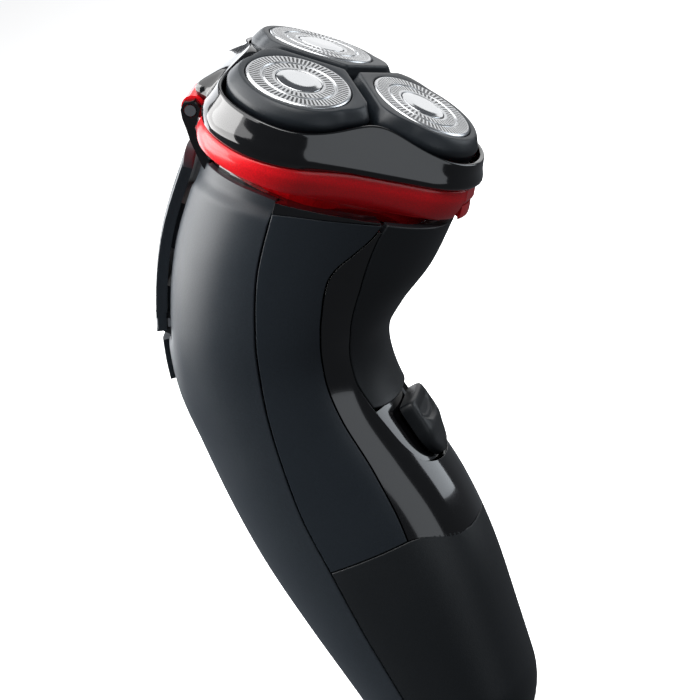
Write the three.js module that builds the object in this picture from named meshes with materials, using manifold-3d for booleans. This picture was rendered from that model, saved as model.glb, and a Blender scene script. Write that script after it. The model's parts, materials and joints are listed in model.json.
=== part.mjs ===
// A three-headed rechargeable electric shaver with an angled neck.
// Millimetres. +Z runs up the handle from its foot, the switch side faces -Y and +X is the user's right.
// The origin is on the flat foot face, in front of the power inlet.
import * as THREE from "three";
import { mergeVertices } from "three/addons/utils/BufferGeometryUtils.js";
import Module from "manifold-3d";

// ---------------------------------------------------------------- driving dimensions
const handleHeight = 91; // foot to the throat under the head, at the front
const headRise = 53; // throat to the middle of the head
const headForward = 39.3; // middle of the head ahead of the foot's reference point
const headTilt = THREE.MathUtils.degToRad(45.8);
const cellSideRoom = 5.45; // from the cells to the inside of the grip
const footSideRoom = 1.05;
const gearSideRoom = 2.1; // from the gears to the inside of the collar
const gearFrontRoom = 4.24;
const gearBackRoom = 4.93;
const wall = 2.2;
const seamGap = 0.3;
const fitGap = 0.3;

const footRound = 13; // height over which the foot rounds in
const footInsetFront = 8.5;
const footInsetBack = 5.3;
const footInsetSide = 5.5;
const footCapHeight = 4.5;
const spigotDepth = 4;
const spigotWall = 1.4;

const inletWidth = 13; // power inlet opening
const inletDepth = 6.2;
const inletHeight = 9.5;
const inletWall = 0.7;
const inletFloor = 1.5;
const inletBehind = 2.6; // front edge of the opening behind the origin
const pinRadius = 1;
const pinSpacing = 7;
const pinLength = 4.9;

const cellRadius = 7.25;
const cellLength = 50.5;
const cellGap = 0.5;
const cellBottom = 13.5;
const cellSetback = 4.5;
const contactThickness = 0.8;
const boardThickness = 1.6;
const boardHalfWidth = 11;
const chassisThickness = 1.6;

const lobeRadius = 16.45; // head centre to each cutter
const lobeTilt = THREE.MathUtils.degToRad(8);
const guardRadius = 11;
const guardThickness = 0.5;
const guardSkirt = 1.8;
const capRadius = 4.75;
const petalRadius = 14.2;
const petalGroove = 2.2; // between neighbouring petals
const petalShoulder = 1.7;
const petalTop = 0.3; // petal face below the guard face
const petalEdge = 3;
const petalSkirt = 7.5;
const petalTaper = 0.5; // how much the skirt draws in towards its foot
const petalFlare = 1.9; // how far the petal's inner corners stand out past its round outline
const cutterRadius = 10;
const cutterBlades = 15;
const stemRadius = 3.6;
const stemLength = 14.4;
const socketRadius = 2.6;
const socketDepth = 3.2;
const springWall = 0.8;

const frameWall = 1.0;
const frameLevel = [-13.9, -11.4, -8.4, -6.1]; // base, belly, shoulder and rim below the guards
const frameRadius = [16.0, 16.8, 16.1, 15.6]; // lobe radius at those levels
const valleyRise = 4.2; // how much higher the rim is between lobes
const valleyDent = 2.7;
const baseRise = 2.4; // how much higher the frame's base is at the front than at the back
const fairingReach = 3.2; // hump at the back that covers the hinge
const fairingHalf = 10.9;
const chamberTop = -14.2;
const chamberLip = -18.5; // below this the chamber tucks into the collar
const chamberBottom = -21.8;
const chamberTuck = 4.9;
const chamberWall = 1.4;
const plateLevel = -12.6;
const plateThickness = 1.4;

const deckTop = -25.5;
const deckThickness = 1.5;
const collarLevel = -20;
const gearTop = -28.2;
const gearThickness = 3;
const gearTeeth = 24;
const pinionTeeth = 15;
const spindleRadius = 2;
const spindleTip = -13;
const shaftRadius = 1;
const motorRadius = 11.5;
const motorLength = 28;

const hingeRoomBehind = 18.775; // head hinge axis behind the middle of the two rear lobes
const hingeLevel = -14.5;
const hingePinRadius = 1.2;
const hingeBarrel = 2.4;
const hingeBarrelHalf = 10.8;
const earWidth = 2.5;
const earTop = 2.2; // top of the ear above the pin
const pinClearance = 0.2;

const switchHalfWidth = 7.2;
const switchTravel = 1.5;
const switchGap = 0.45;
const switchSink = 1.3; // how deep the slide reaches into its recess
const switchProud = 2.2;
const switchFootShape = 1.05; // roundness of the slide's lower end
const notchRadius = 3.4; // thumb notch
const notchHalf = 4.2;
const notchFloor = 0.9;
const notchHeight = 9.2;

const trimmerHalfWidth = 9.8;
const trimmerProud = 2.3;
const trimmerHingeInset = 6.3; // from the back of the collar
const bayFloorInset = 9.6;
const bayFloorThickness = 1.2;
const combThickness = 0.8;
const combTeeth = 13;

// ---------------------------------------------------------------- solids
const wasm = await Module();
wasm.setup();

function solid(geometry, matrix) {
  const plain = geometry.clone();
  plain.deleteAttribute("normal");
  plain.deleteAttribute("uv");
  if (matrix) plain.applyMatrix4(matrix);
  const merged = mergeVertices(plain, 1e-4);
  return new wasm.Manifold(
    new wasm.Mesh({
      numProp: 3,
      vertProperties: merged.attributes.position.array,
      triVerts: new Uint32Array(merged.index.array),
    }),
  );
}

function geometryOf(body) {
  const mesh = body.getMesh();
  const geometry = new THREE.BufferGeometry();
  geometry.setAttribute("position", new THREE.BufferAttribute(mesh.vertProperties, 3));
  geometry.setIndex(new THREE.BufferAttribute(mesh.triVerts, 1));
  return geometry;
}

const move = (x, y, z) => new THREE.Matrix4().makeTranslation(x, y, z);
const boxAt = (x0, x1, y0, y1, z0, z1) =>
  new THREE.BoxGeometry(x1 - x0, y1 - y0, z1 - z0).translate((x0 + x1) / 2, (y0 + y1) / 2, (z0 + z1) / 2);
// A cylinder standing on z0, and one lying along X.
const rod = (radius, z0, z1, sides = 20) =>
  new THREE.CylinderGeometry(radius, radius, z1 - z0, sides)
    .rotateX(Math.PI / 2)
    .translate(0, 0, (z0 + z1) / 2);
const crossRod = (radius, x0, x1, sides = 16) =>
  new THREE.CylinderGeometry(radius, radius, x1 - x0, sides)
    .rotateZ(Math.PI / 2)
    .translate((x0 + x1) / 2, 0, 0);
// A turned piece: profile points are [radius, height], listed so that the solid lies on their left.
const turned = (profile, sides = 28) =>
  new THREE.LatheGeometry(
    profile.map(([r, z]) => new THREE.Vector2(r, z)),
    sides,
  ).rotateX(Math.PI / 2);

function extruded(points, depth, holes = []) {
  const shape = new THREE.Shape(points.map(([x, y]) => new THREE.Vector2(x, y)));
  for (const hole of holes) shape.holes.push(hole);
  return new THREE.ExtrudeGeometry(shape, { depth, bevelEnabled: false, curveSegments: 20 });
}

// A closed solid from a grid of points that runs round in both directions, such as a ring of any profile.
function ringSolid(loops) {
  const count = loops.length;
  const size = loops[0].length;
  const index = [];
  for (let i = 0; i < count; i++)
    for (let k = 0; k < size; k++) {
      const a = i * size + k;
      const b = ((i + 1) % count) * size + k;
      const c = ((i + 1) % count) * size + ((k + 1) % size);
      const d = i * size + ((k + 1) % size);
      index.push(a, b, c, a, c, d);
    }
  return indexed(loops.flat(), index);
}

// A closed solid from stacked rings, each a closed loop of points, with flat ends.
function stackSolid(rings) {
  const size = rings[0].length;
  const index = [];
  for (let i = 0; i + 1 < rings.length; i++)
    for (let k = 0; k < size; k++) {
      const a = i * size + k;
      const b = i * size + ((k + 1) % size);
      index.push(a, b, b + size, a, b + size, a + size);
    }
  const points = rings.flat();
  const top = (rings.length - 1) * size;
  for (const [start, up] of [[0, false], [top, true]]) {
    const ring = points.slice(start, start + size);
    const middle = [0, 1, 2].map((axis) => ring.reduce((sum, p) => sum + p[axis], 0) / size);
    const hub = points.push(middle) - 1;
    for (let k = 0; k < size; k++) {
      const a = start + k;
      const b = start + ((k + 1) % size);
      index.push(...(up ? [hub, a, b] : [hub, b, a]));
    }
  }
  return indexed(points, index);
}

function indexed(points, index) {
  const geometry = new THREE.BufferGeometry();
  geometry.setAttribute("position", new THREE.Float32BufferAttribute(points.flat(), 3));
  geometry.setIndex(index);
  return geometry;
}

// ---------------------------------------------------------------- the handle's skin
const sinTilt = Math.sin(headTilt);
const cosTilt = Math.cos(headTilt);
const headHeight = handleHeight + headRise;

// The spindles stand under the stems of the tilted cutters, and their gears set the collar's size.
const spindleReach = lobeRadius - (stemLength - 1) * Math.sin(lobeTilt);
const gearModule = (2 * spindleReach) / (gearTeeth + pinionTeeth);
const gearTip = (gearModule * gearTeeth) / 2 + 0.8 * gearModule;
const collarHalfWidth = spindleReach * Math.cos(Math.PI / 6) + gearTip + gearSideRoom + wall;
const collarFront = spindleReach + gearTip + gearFrontRoom + wall;
const collarBack = spindleReach / 2 + gearTip + gearBackRoom + wall;
const hingeBack = lobeRadius / 2 + hingeRoomBehind;
const trimmerHinge = { back: collarBack - trimmerHingeInset, level: -61.2, pin: 1, barrel: 2.8 };
const bayFloorBack = collarBack - bayFloorInset;

// The two cells side by side set the width and the depth of the grip.
const cellsHalfWidth = 2 * cellRadius + cellGap / 2;
const gripHalfWidth = cellsHalfWidth + cellSideRoom + wall;
const footHalfWidth = cellsHalfWidth + footSideRoom + wall;
const cellBack = cellSetback + cellRadius;
const cellFront = cellSetback - cellRadius;
// A place given in the head's own axes: forward along the head's face and level above the guards.
const fromHead = (forward, level) => [
  -headForward - forward * cosTilt - level * sinTilt,
  headHeight - forward * sinTilt + level * cosTilt,
];

// Sections from foot to collar: the back and front points, half width, squareness and egg shape. In
// the handle the points are given by their room behind and ahead of the cells, and in the neck by
// their room outside the collar's own depth.
const handleSection = (behind, backRise, ahead, frontRise, halfWidth, egg) => ({
  back: [cellBack + behind, backRise * handleHeight],
  front: [cellFront - ahead, frontRise * handleHeight],
  halfWidth,
  power: 2.3,
  egg,
});
const neckSection = (back, front, halfWidth, power, egg) => ({
  back: fromHead(...back),
  front: fromHead(...front),
  halfWidth,
  power,
  egg,
});
const sections = [
  handleSection(3.45, 0, 13.85, 0, footHalfWidth, 0.04),
  handleSection(6.05, 0.22, 16.95, 0.22, (2 * footHalfWidth + gripHalfWidth) / 3, 0.04),
  handleSection(9.05, 0.44, 19.85, 0.44, (footHalfWidth + 2 * gripHalfWidth) / 3, 0.05),
  handleSection(11.05, 0.626, 20.25, 0.604, gripHalfWidth - 0.5, 0.05),
  handleSection(11.55, 0.79, 18.75, 0.747, gripHalfWidth, 0.05),
  handleSection(11.05, 0.956, 17.35, 0.89, gripHalfWidth + 0.4, 0.05),
  handleSection(10.05, 1.11, 19.65, 1, gripHalfWidth + 1, 0.06),
  neckSection([5.6 - collarBack, -60.6], [collarFront - 3.8, -40.4], collarHalfWidth - 1.9, 2.3, 0.09),
  neckSection([0.8 - collarBack, -42.5], [collarFront - 1, -30.6], collarHalfWidth - 0.9, 2.25, 0.14),
  neckSection([-collarBack, collarLevel], [collarFront, collarLevel], collarHalfWidth, 2.2, 0.2),
];
const spans = sections.length - 1;
const sectionValues = sections.map((s) => [...s.back, ...s.front, s.halfWidth, s.power, s.egg]);

// Catmull-Rom interpolation of rows of numbers, for u from 0 to rows - 1.
function spline(rows, u) {
  const last = rows.length - 1;
  const i = Math.min(Math.max(Math.floor(u), 0), last - 1);
  const x = u - i;
  const at = (j) => rows[Math.min(Math.max(j, 0), last)];
  const before = i === 0 ? rows[0].map((v, k) => 2 * v - rows[1][k]) : at(i - 1);
  const after = i + 2 > last ? rows[last].map((v, k) => 2 * v - rows[last - 1][k]) : at(i + 2);
  return at(i).map((p1, k) => {
    const p0 = before[k];
    const p2 = at(i + 1)[k];
    const p3 = after[k];
    const square = 2 * p0 - 5 * p1 + 4 * p2 - p3;
    const cube = -p0 + 3 * p1 - 3 * p2 + p3;
    return 0.5 * (2 * p1 + (p2 - p0) * x + square * x * x + cube * x * x * x);
  });
}

// A point of the skin: t runs from foot (0) to collar (1), and angle from the front (0)
// over -X to the back (pi).
function skin(t, angle, offset = 0) {
  const [backY, backZ, frontY, frontZ, halfWidth, power, egg] = spline(sectionValues, t * spans);
  const rise = Math.min(backZ / footRound, 1);
  const tuck = 1 - Math.sqrt(Math.max(0, 1 - (1 - rise) ** 2));
  const back = [backY - footInsetBack * tuck, backZ];
  const front = [frontY + footInsetFront * tuck, frontZ];
  const depth = Math.hypot(front[0] - back[0], front[1] - back[1]) / 2;
  const grow = (depth + offset) / depth;
  const rounded = (v) => Math.sign(v) * Math.abs(v) ** (2 / power);
  const c = rounded(Math.cos(angle));
  const s = rounded(Math.sin(angle));
  const width = halfWidth - footInsetSide * tuck + offset;
  return [
    -width * s * (1 - egg * c),
    (back[0] + front[0]) / 2 + ((front[0] - back[0]) / 2) * grow * c,
    (back[1] + front[1]) / 2 + ((front[1] - back[1]) / 2) * grow * c,
  ];
}
// The lower handle's sections are level, so a height there gives its own t.
const atHeight = (z) => z / sections[1].back[1] / spans;

function skinSolid(t0, t1, offset, rows = 12, sides = 40) {
  const rings = [];
  for (let i = 0; i <= rows; i++)
    rings.push(
      Array.from({ length: sides }, (_, k) =>
        skin(t0 + ((t1 - t0) * i) / rows, (-2 * Math.PI * k) / sides, offset),
      ),
    );
  return stackSolid(rings);
}

// A patch of the skin with a wall. low and high give t at a fraction across it, and from and to
// its side angles at t.
// bunch over 1 crowds its rows towards the low end.
function skinPatch({ low, high, from, to, rows, columns, proud = 0, thickness = wall, bunch = 1 }) {
  const outer = [];
  const inner = [];
  for (let i = 0; i <= rows; i++)
    for (let k = 0; k <= columns; k++) {
      const across = k / columns;
      const t = low(across) + (high(across) - low(across)) * (i / rows) ** bunch;
      const angle = from(t) + (to(t) - from(t)) * across;
      outer.push(skin(t, angle, proud));
      inner.push(skin(t, angle, proud - thickness));
    }
  const stride = columns + 1;
  const under = outer.length;
  const index = [];
  for (let i = 0; i < rows; i++)
    for (let k = 0; k < columns; k++) {
      const a = i * stride + k;
      const b = a + stride;
      index.push(a, b, b + 1, a, b + 1, a + 1);
      index.push(under + a, under + b + 1, under + b, under + a, under + a + 1, under + b + 1);
    }
  const rim = [];
  for (let k = 0; k < columns; k++) rim.push(k);
  for (let i = 0; i < rows; i++) rim.push(i * stride + columns);
  for (let k = columns; k > 0; k--) rim.push(rows * stride + k);
  for (let i = rows; i > 0; i--) rim.push(i * stride);
  rim.forEach((a, k) => {
    const b = rim[(k + 1) % rim.length];
    index.push(a, b, under + b, a, under + b, under + a);
  });
  return indexed([...outer, ...inner], index);
}

// ---------------------------------------------------------------- seams on the skin
const seamOf = (rows) => (t) => {
  let i = 0;
  while (i < rows.length - 2 && t > rows[i + 1][0]) i++;
  const x = (t - rows[i][0]) / (rows[i + 1][0] - rows[i][0]);
  return spline(rows.map((r) => [r[1]]), i + Math.min(Math.max(x, 0), 1))[0];
};
const rearSeam = seamOf([
  [0, 1.86],
  [0.2, 1.85],
  [0.31, 1.8],
  [0.42, 1.755],
  [0.55, 1.645],
  [0.67, 1.59],
  [0.79, 1.65],
  [0.89, 1.74],
  [1, 1.805],
]);
const panelSeam = seamOf([
  [0.28, 1.14],
  [0.37, 1.065],
  [0.48, 1.02],
  [0.6, 1.04],
  [0.68, 1.07],
  [0.75, 1.15],
  [0.82, 1.23],
  [0.88, 1.285],
  [0.91, 1.265],
  [0.94, 1.175],
  [0.97, 1.085],
  [1, 1.03],
]);
const gripSeam = seamOf([
  [0.43, 0.5],
  [0.47, 0.57],
  [0.52, 0.61],
  [0.57, 0.67],
  [0.61, 0.72],
  [0.66, 0.75],
  [0.72, 0.82],
  [0.8, 0.93],
  [0.87, 1.0],
  [0.92, 1.03],
  [0.97, 1.03],
  [1, 1.0],
]);
const smooth = (x) => {
  const v = Math.min(Math.max(x, 0), 1);
  return v * v * (3 - 2 * v);
};
// The lower cover's top edge, lower at the front, and the collar's edge, which falls away to the back.
const lowerEdge = (angle) => 0.276 + 0.038 * smooth((Math.abs(angle) - 0.3) / 0.85);
const collarEdge = (angle) => {
  const a = Math.abs(angle);
  const back = Math.max(0, (a - 1.85) / (Math.PI - 1.85));
  return 1 - 0.01 * smooth((a - 1.2) / 0.65) - 0.035 * back ** 1.3;
};
const bandEdge = (angle) => 1 - 0.026 * Math.max(0, (Math.abs(angle) - 1) / 0.8) ** 1.3;
const recessTop = 0.535;
const recessCorner = 0.45;
const recessDrop = 0.054;
const recessAngle = gripSeam(recessCorner);
const recessFloor = (across) =>
  recessCorner - recessDrop * Math.sqrt(Math.max(0, 1 - (2 * across - 1) ** 2));
const recessSide = (t) => (t < recessCorner ? recessAngle : gripSeam(t));

const halfAngle = (t) => seamGap / 2 / spline(sectionValues, t * spans)[4]; // half a seam as an angle
const halfStep = seamGap / 2 / (headHeight + headForward); // half a seam along t
const footStart = atHeight(footCapHeight + seamGap);
const skinSpline = (t) => spline(sectionValues, t * spans);
// The angle from the back at which the skin is x wide of the middle.
const backAngle = (t, x) => {
  const [, , , , halfWidth, power, egg] = skinSpline(t);
  return Math.asin(Math.min(1, x / (halfWidth * (1 + egg))) ** (power / 2));
};

// ---------------------------------------------------------------- the assembly
const shaver = new THREE.Group();
const head = new THREE.Group();
head.position.set(0, -headForward, headHeight);
head.rotation.x = headTilt;
shaver.add(head);
head.updateMatrixWorld(true);
const headMatrix = head.matrixWorld.clone();
const toHead = headMatrix.clone().invert();

const finishes = {
  softGrey: { color: 0x2b333b, roughness: 0.55, metalness: 0 },
  satinGrey: { color: 0x222a32, roughness: 0.4, metalness: 0 },
  glossBlack: { color: 0x07080a, roughness: 0.08, metalness: 0 },
  mattBlack: { color: 0x15191e, roughness: 0.7, metalness: 0 },
  clearRed: { color: 0xc80f1a, roughness: 0.15, metalness: 0 },
  steel: { color: 0xc4c8cc, roughness: 0.25, metalness: 1 },
  brass: { color: 0xc9a24e, roughness: 0.35, metalness: 1 },
  whitePlastic: { color: 0xdcdcd6, roughness: 0.5, metalness: 0 },
  board: { color: 0x1c6b3f, roughness: 0.6, metalness: 0 },
  cellWrap: { color: 0x2f8f5a, roughness: 0.4, metalness: 0 },
  rubber: { color: 0x101113, roughness: 0.85, metalness: 0 },
};
function add(name, shape, finish, parent = shaver) {
  const geometry = shape.isBufferGeometry ? shape : geometryOf(shape);
  const mesh = new THREE.Mesh(geometry, new THREE.MeshStandardMaterial(finishes[finish]));
  mesh.name = name;
  parent.add(mesh);
  return mesh;
}

// ---------------------------------------------------------------- outer shells
// t of the trimmer door's lower end, its upper end and the release button's ends.
const trimmerFoot = 0.757;
const trimmerHead = 0.976;
const buttonLow = 0.67;
const buttonHigh = 0.738;
const buttonHalfWidth = 6.5;
const buttonProud = 1.5;
const buttonDepth = 3;
const doorGap = 0.5;

function rearShell() {
  const across = (k) => rearSeam(0.99) + (2 * Math.PI - 2 * rearSeam(0.99)) * k;
  const fold = (angle) => (angle > Math.PI ? 2 * Math.PI - angle : angle);
  const body = solid(
    skinPatch({
      low: () => footStart,
      high: (k) => collarEdge(fold(across(k))),
      from: (t) => rearSeam(t) + halfAngle(t),
      to: (t) => 2 * Math.PI - rearSeam(t) - halfAngle(t),
      rows: 22,
      columns: 14,
      bunch: 1.5,
    }),
  );
  const window = (low, high, halfWidth) =>
    solid(
      skinPatch({
        low: () => low,
        high: () => high,
        from: (t) => Math.PI - backAngle(t, halfWidth),
        to: (t) => Math.PI + backAngle(t, halfWidth),
        rows: 6,
        columns: 4,
        proud: 3,
        thickness: wall + 8,
      }),
    );
  const doorWindow = window(trimmerFoot - 0.012, 1.02, trimmerHalfWidth + doorGap);
  const buttonWindow = window(buttonLow - 0.003, trimmerFoot, buttonHalfWidth + doorGap);
  return body.subtract(doorWindow).subtract(buttonWindow);
}
add("rear_shell", rearShell(), "softGrey");

for (const [side, sign] of [["left", 1], ["right", -1]]) {
  const angle = (k) => panelSeam(0.97) + (rearSeam(0.97) - panelSeam(0.97)) * k;
  const near = (t) => panelSeam(t) + halfAngle(t);
  const far = (t) => rearSeam(t) - halfAngle(t);
  const edges = sign > 0 ? { from: near, to: far } : { from: (t) => -far(t), to: (t) => -near(t) };
  add(
    `side_panel_${side}`,
    skinPatch({
      low: () => lowerEdge(2) + halfStep,
      high: (k) => bandEdge(angle(sign > 0 ? k : 1 - k)) - halfStep,
      ...edges,
      rows: 24,
      columns: 3,
    }),
    "satinGrey",
  );
}

const fullGrip = {
  low: recessFloor,
  high: () => 1.03,
  from: (t) => -recessSide(t) - halfAngle(t),
  to: (t) => recessSide(t) + halfAngle(t),
  rows: 20,
  columns: 8,
};
const fascia = solid(
  skinPatch({
    low: (k) => lowerEdge((2 * k - 1) * panelSeam(0.3)) + halfStep,
    high: () => 0.985,
    from: (t) => -panelSeam(t) + halfAngle(t),
    to: (t) => panelSeam(t) - halfAngle(t),
    rows: 22,
    columns: 14,
  }),
).subtract(solid(skinPatch({ ...fullGrip, proud: 3, thickness: wall + 6 })));
add("front_fascia", fascia, "glossBlack");

add(
  "thumb_grip",
  skinPatch({
    low: () => recessTop + halfStep,
    high: () => 1,
    from: (t) => -gripSeam(t) + halfAngle(t),
    to: (t) => gripSeam(t) - halfAngle(t),
    rows: 16,
    columns: 6,
  }),
  "mattBlack",
);

add(
  "lower_front_cover",
  skinPatch({
    low: () => footStart,
    high: (k) => lowerEdge((2 * k - 1) * rearSeam(0.3)) - halfStep,
    from: (t) => -rearSeam(t) + halfAngle(t),
    to: (t) => rearSeam(t) - halfAngle(t),
    rows: 9,
    columns: 20,
    bunch: 1.5,
  }),
  "mattBlack",
);

// ---------------------------------------------------------------- switch
const recessSink = 1.6;
add(
  "switch_recess",
  skinPatch({
    low: (k) => recessFloor(k) + 2 * halfStep,
    high: () => recessTop - halfStep,
    from: (t) => -recessSide(t) + 2 * halfAngle(t),
    to: (t) => recessSide(t) - 2 * halfAngle(t),
    rows: 4,
    columns: 8,
    proud: -recessSink,
    thickness: 1.6,
  }),
  "glossBlack",
);

const switchLow = skin(recessCorner - recessDrop, 0);
const switchHigh = skin(recessTop, 0);
const switchLength =
  Math.hypot(switchHigh[1] - switchLow[1], switchHigh[2] - switchLow[2]) - switchTravel - 2 * switchGap;
const switchLean = Math.atan2(switchHigh[1] - switchLow[1], switchHigh[2] - switchLow[2]);
const switchGroup = new THREE.Group();
switchGroup.position.set(0, switchLow[1], switchLow[2]);
switchGroup.rotation.x = -switchLean;
shaver.add(switchGroup);
// Side outline of the slide as [outwards, up]: flush at its foot and proud above its thumb notch.
const switchOutline = [
  [-switchSink, 0],
  [0.1, 0],
  [1, 1.4],
  [1.5, 4.4],
  [switchProud, 6.4],
  [switchProud, switchLength - 1.6],
  [switchProud - 0.7, switchLength],
  [-switchSink, switchLength],
];
const outwards = new THREE.Matrix4()
  .makeBasis(new THREE.Vector3(0, -1, 0), new THREE.Vector3(0, 0, 1), new THREE.Vector3(-1, 0, 0))
  .setPosition(switchHalfWidth, 0, switchGap);
const switchBlock = solid(extruded(switchOutline, 2 * switchHalfWidth), outwards);
const footRise = switchHalfWidth * switchFootShape; // height of the slide's rounded lower end
const switchFace = solid(
  new THREE.CylinderGeometry(switchHalfWidth, switchHalfWidth, 12, 40).scale(1, 1, switchFootShape),
  move(0, 0, footRise + switchGap),
).add(solid(boxAt(-switchHalfWidth, switchHalfWidth, -6, 6, footRise + switchGap, 30)));
const thumbNotch = solid(
  crossRod(notchRadius, -notchHalf, notchHalf, 24),
  move(0, -notchRadius - notchFloor, notchHeight),
);
add("switch_slider", switchBlock.intersect(switchFace).subtract(thumbNotch), "mattBlack", switchGroup);

// ---------------------------------------------------------------- foot and inlet
const inletFront = inletBehind - inletWall;
const inletBack = inletBehind + inletDepth + inletWall;
const inletHalf = inletWidth / 2 + inletWall;
const capInset = -(wall + fitGap + 0.15);
const footCap = solid(skinSolid(0, atHeight(footCapHeight), 0, 4, 28))
  .add(solid(skinSolid(atHeight(2), atHeight(footCapHeight + spigotDepth), capInset, 2, 28)))
  .subtract(
    solid(skinSolid(atHeight(2), atHeight(footCapHeight + spigotDepth + 2), capInset - spigotWall, 2, 28)),
  )
  .subtract(
    solid(boxAt(-inletHalf - fitGap, inletHalf + fitGap, inletFront - fitGap, inletBack + fitGap, -1, 30)),
  );
add("foot_cap", footCap, "mattBlack");

const inletTop = inletHeight + inletFloor;
const inletBox = solid(boxAt(-inletHalf, inletHalf, inletFront, inletBack, 0, inletTop));
const inletHollow = solid(
  boxAt(-inletWidth / 2, inletWidth / 2, inletBehind, inletBehind + inletDepth, -1, inletHeight),
);
add("inlet_socket", inletBox.subtract(inletHollow), "rubber");
for (const [side, sign] of [["left", -1], ["right", 1]]) {
  const pin = rod(pinRadius, 0, pinLength, 10);
  const mesh = add(`inlet_pin_${side}`, pin, "steel");
  const pinFoot = inletHeight - fitGap - pinLength;
  mesh.position.set((sign * pinSpacing) / 2, inletBehind + inletDepth / 2, pinFoot);
}

// ---------------------------------------------------------------- inside the handle
const cellTop = cellBottom + cellLength;
for (const [side, sign] of [["left", -1], ["right", 1]]) {
  const cell = turned([
    [0, 0],
    [cellRadius, 0],
    [cellRadius, cellLength - 1.4],
    [2.8, cellLength - 1.4],
    [2.8, cellLength],
    [0, cellLength],
  ], 16);
  const mesh = add(`cell_${side}`, cell, "cellWrap");
  mesh.position.set(sign * (cellRadius + cellGap / 2), cellSetback, cellBottom);
}
const chassisBack = cellFront - fitGap;
const chassisFront = chassisBack - chassisThickness;
const chassis = solid(boxAt(-13, 13, chassisFront, chassisBack, cellBottom - 3, handleHeight - 3))
  .add(solid(boxAt(-13, 13, chassisFront, cellSetback + 4, cellTop + 1.3, cellTop + 2.9)))
  .add(solid(boxAt(-9, 9, chassisFront - 2.5, chassisFront + 0.1, handleHeight - 8, handleHeight - 5)));
add("chassis", chassis, "whitePlastic");
const contactHalf = 3; // half the depth of a cell contact
const contactFront = cellSetback - contactHalf;
const contactBack = cellSetback + contactHalf;
const lowerContactTop = cellBottom - fitGap;
add(
  "cell_contact_lower",
  boxAt(-12, 12, contactFront, contactBack, lowerContactTop - contactThickness, lowerContactTop),
  "steel",
);
for (const [side, sign] of [["left", -1], ["right", 1]]) {
  const x = sign * (cellRadius + cellGap / 2);
  const z = cellTop + fitGap;
  const contact = boxAt(x - 4, x + 4, contactFront, contactBack, z, z + contactThickness - 0.1);
  add(`cell_contact_${side}`, contact, "steel");
}
const boardFront = chassisFront - 3 - boardThickness;
const boardBack = boardFront + boardThickness;
add(
  "circuit_board",
  boxAt(-boardHalfWidth, boardHalfWidth, boardFront, boardBack, cellBottom + 2, handleHeight - 9),
  "board",
);
const switchMiddle = (switchLow[2] + switchHigh[2]) / 2;
add(
  "switch_contacts",
  boxAt(-4, 4, boardFront - 3.5, boardFront - fitGap, switchMiddle - 5, switchMiddle + 5),
  "whitePlastic",
);

// ---------------------------------------------------------------- head seat in the collar
const inHead = (geometry) => solid(geometry, headMatrix);
const around = (k) => -Math.PI / 2 + (k * 2 * Math.PI) / 3; // direction of each lobe in the head's axes

const seatInset = -(wall + fitGap + 0.25);
const seatOuter = solid(skinSolid(0.86, 1, seatInset, 4, 32));
const seatInner = solid(skinSolid(0.86, 1.02, seatInset - 1.6, 4, 32));
const slab = (low, high) => inHead(boxAt(-60, 60, -60, 60, low, high));
let seat = seatOuter.intersect(slab(deckTop - deckThickness, deckTop));
const seatWall = seatOuter.subtract(seatInner);
seat = seat.add(seatWall.intersect(slab(deckTop - deckThickness, collarLevel - 1.5)));
for (const sign of [1, -1]) {
  const start = 1.06;
  const near = () => start;
  const far = (t) => rearSeam(t) - halfAngle(t);
  const edges = sign > 0 ? { from: near, to: far } : { from: (t) => -far(t), to: () => -start };
  const angle = (k) => start + (rearSeam(0.99) - start) * (sign > 0 ? k : 1 - k);
  const band = skinPatch({
    low: (k) => bandEdge(angle(k)) + halfStep,
    high: (k) => Math.max(collarEdge(angle(k)), bandEdge(angle(k)) + 4 * halfStep),
    ...edges,
    rows: 1,
    columns: 6,
    thickness: wall + fitGap + 0.8,
  });
  seat = seat.add(solid(band));
}
// Room for the trimmer, which stands behind the seat.
seat = seat.subtract(
  inHead(boxAt(-trimmerHalfWidth - 1, trimmerHalfWidth + 1, bayFloorBack - 0.3, 60, -70, 0)),
);
// Hinge ears: up from the deck, back past the shell's edge and round the pin.
const earOutline = [
  [hingeBack, hingeLevel + earTop],
  [hingeBack + 1.9, hingeLevel + 0.9],
  [hingeBack + 1.9, hingeLevel - 0.6],
  [hingeBack + 1, hingeLevel - 2.2],
  [hingeBack - 0.6, -18.6],
  [hingeBack - 2.1, -20.6],
  [hingeBack - 6.2, -24.8],
  [hingeBack - 8.2, deckTop - 0.6],
  [hingeBack - 9, deckTop - deckThickness],
  [hingeBack - 10.5, deckTop - deckThickness],
  [hingeBack - 10.5, deckTop],
  [hingeBack - 8.2, deckTop + 1.2],
  [hingeBack - 3.6, -19.3],
  [hingeBack - 2.1, -17.6],
  [hingeBack - 2.1, hingeLevel - 1.2],
  [hingeBack - 1.8, hingeLevel + 1.2],
];
for (const sign of [-1, 1]) {
  const inner = hingeBarrelHalf + 0.4;
  const x = sign > 0 ? inner + earWidth : -inner;
  const ear = extruded(earOutline, earWidth).applyMatrix4(
    new THREE.Matrix4().makeBasis(
      new THREE.Vector3(0, 1, 0), new THREE.Vector3(0, 0, 1), new THREE.Vector3(1, 0, 0),
    ).setPosition(x - earWidth, 0, 0),
  );
  seat = seat.add(inHead(ear));
}
const pinHole = crossRod(hingePinRadius + pinClearance, -30, 30).translate(0, hingeBack, hingeLevel);
seat = seat.subtract(inHead(pinHole));
for (let k = 0; k < 3; k++) {
  const [x, y] = [Math.cos(around(k)) * spindleReach, Math.sin(around(k)) * spindleReach];
  seat = seat.subtract(inHead(rod(spindleRadius + 0.5, deckTop - 5, deckTop + 1, 12).translate(x, y, 0)));
}
const screwReach = collarBack - 5.5;
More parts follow.
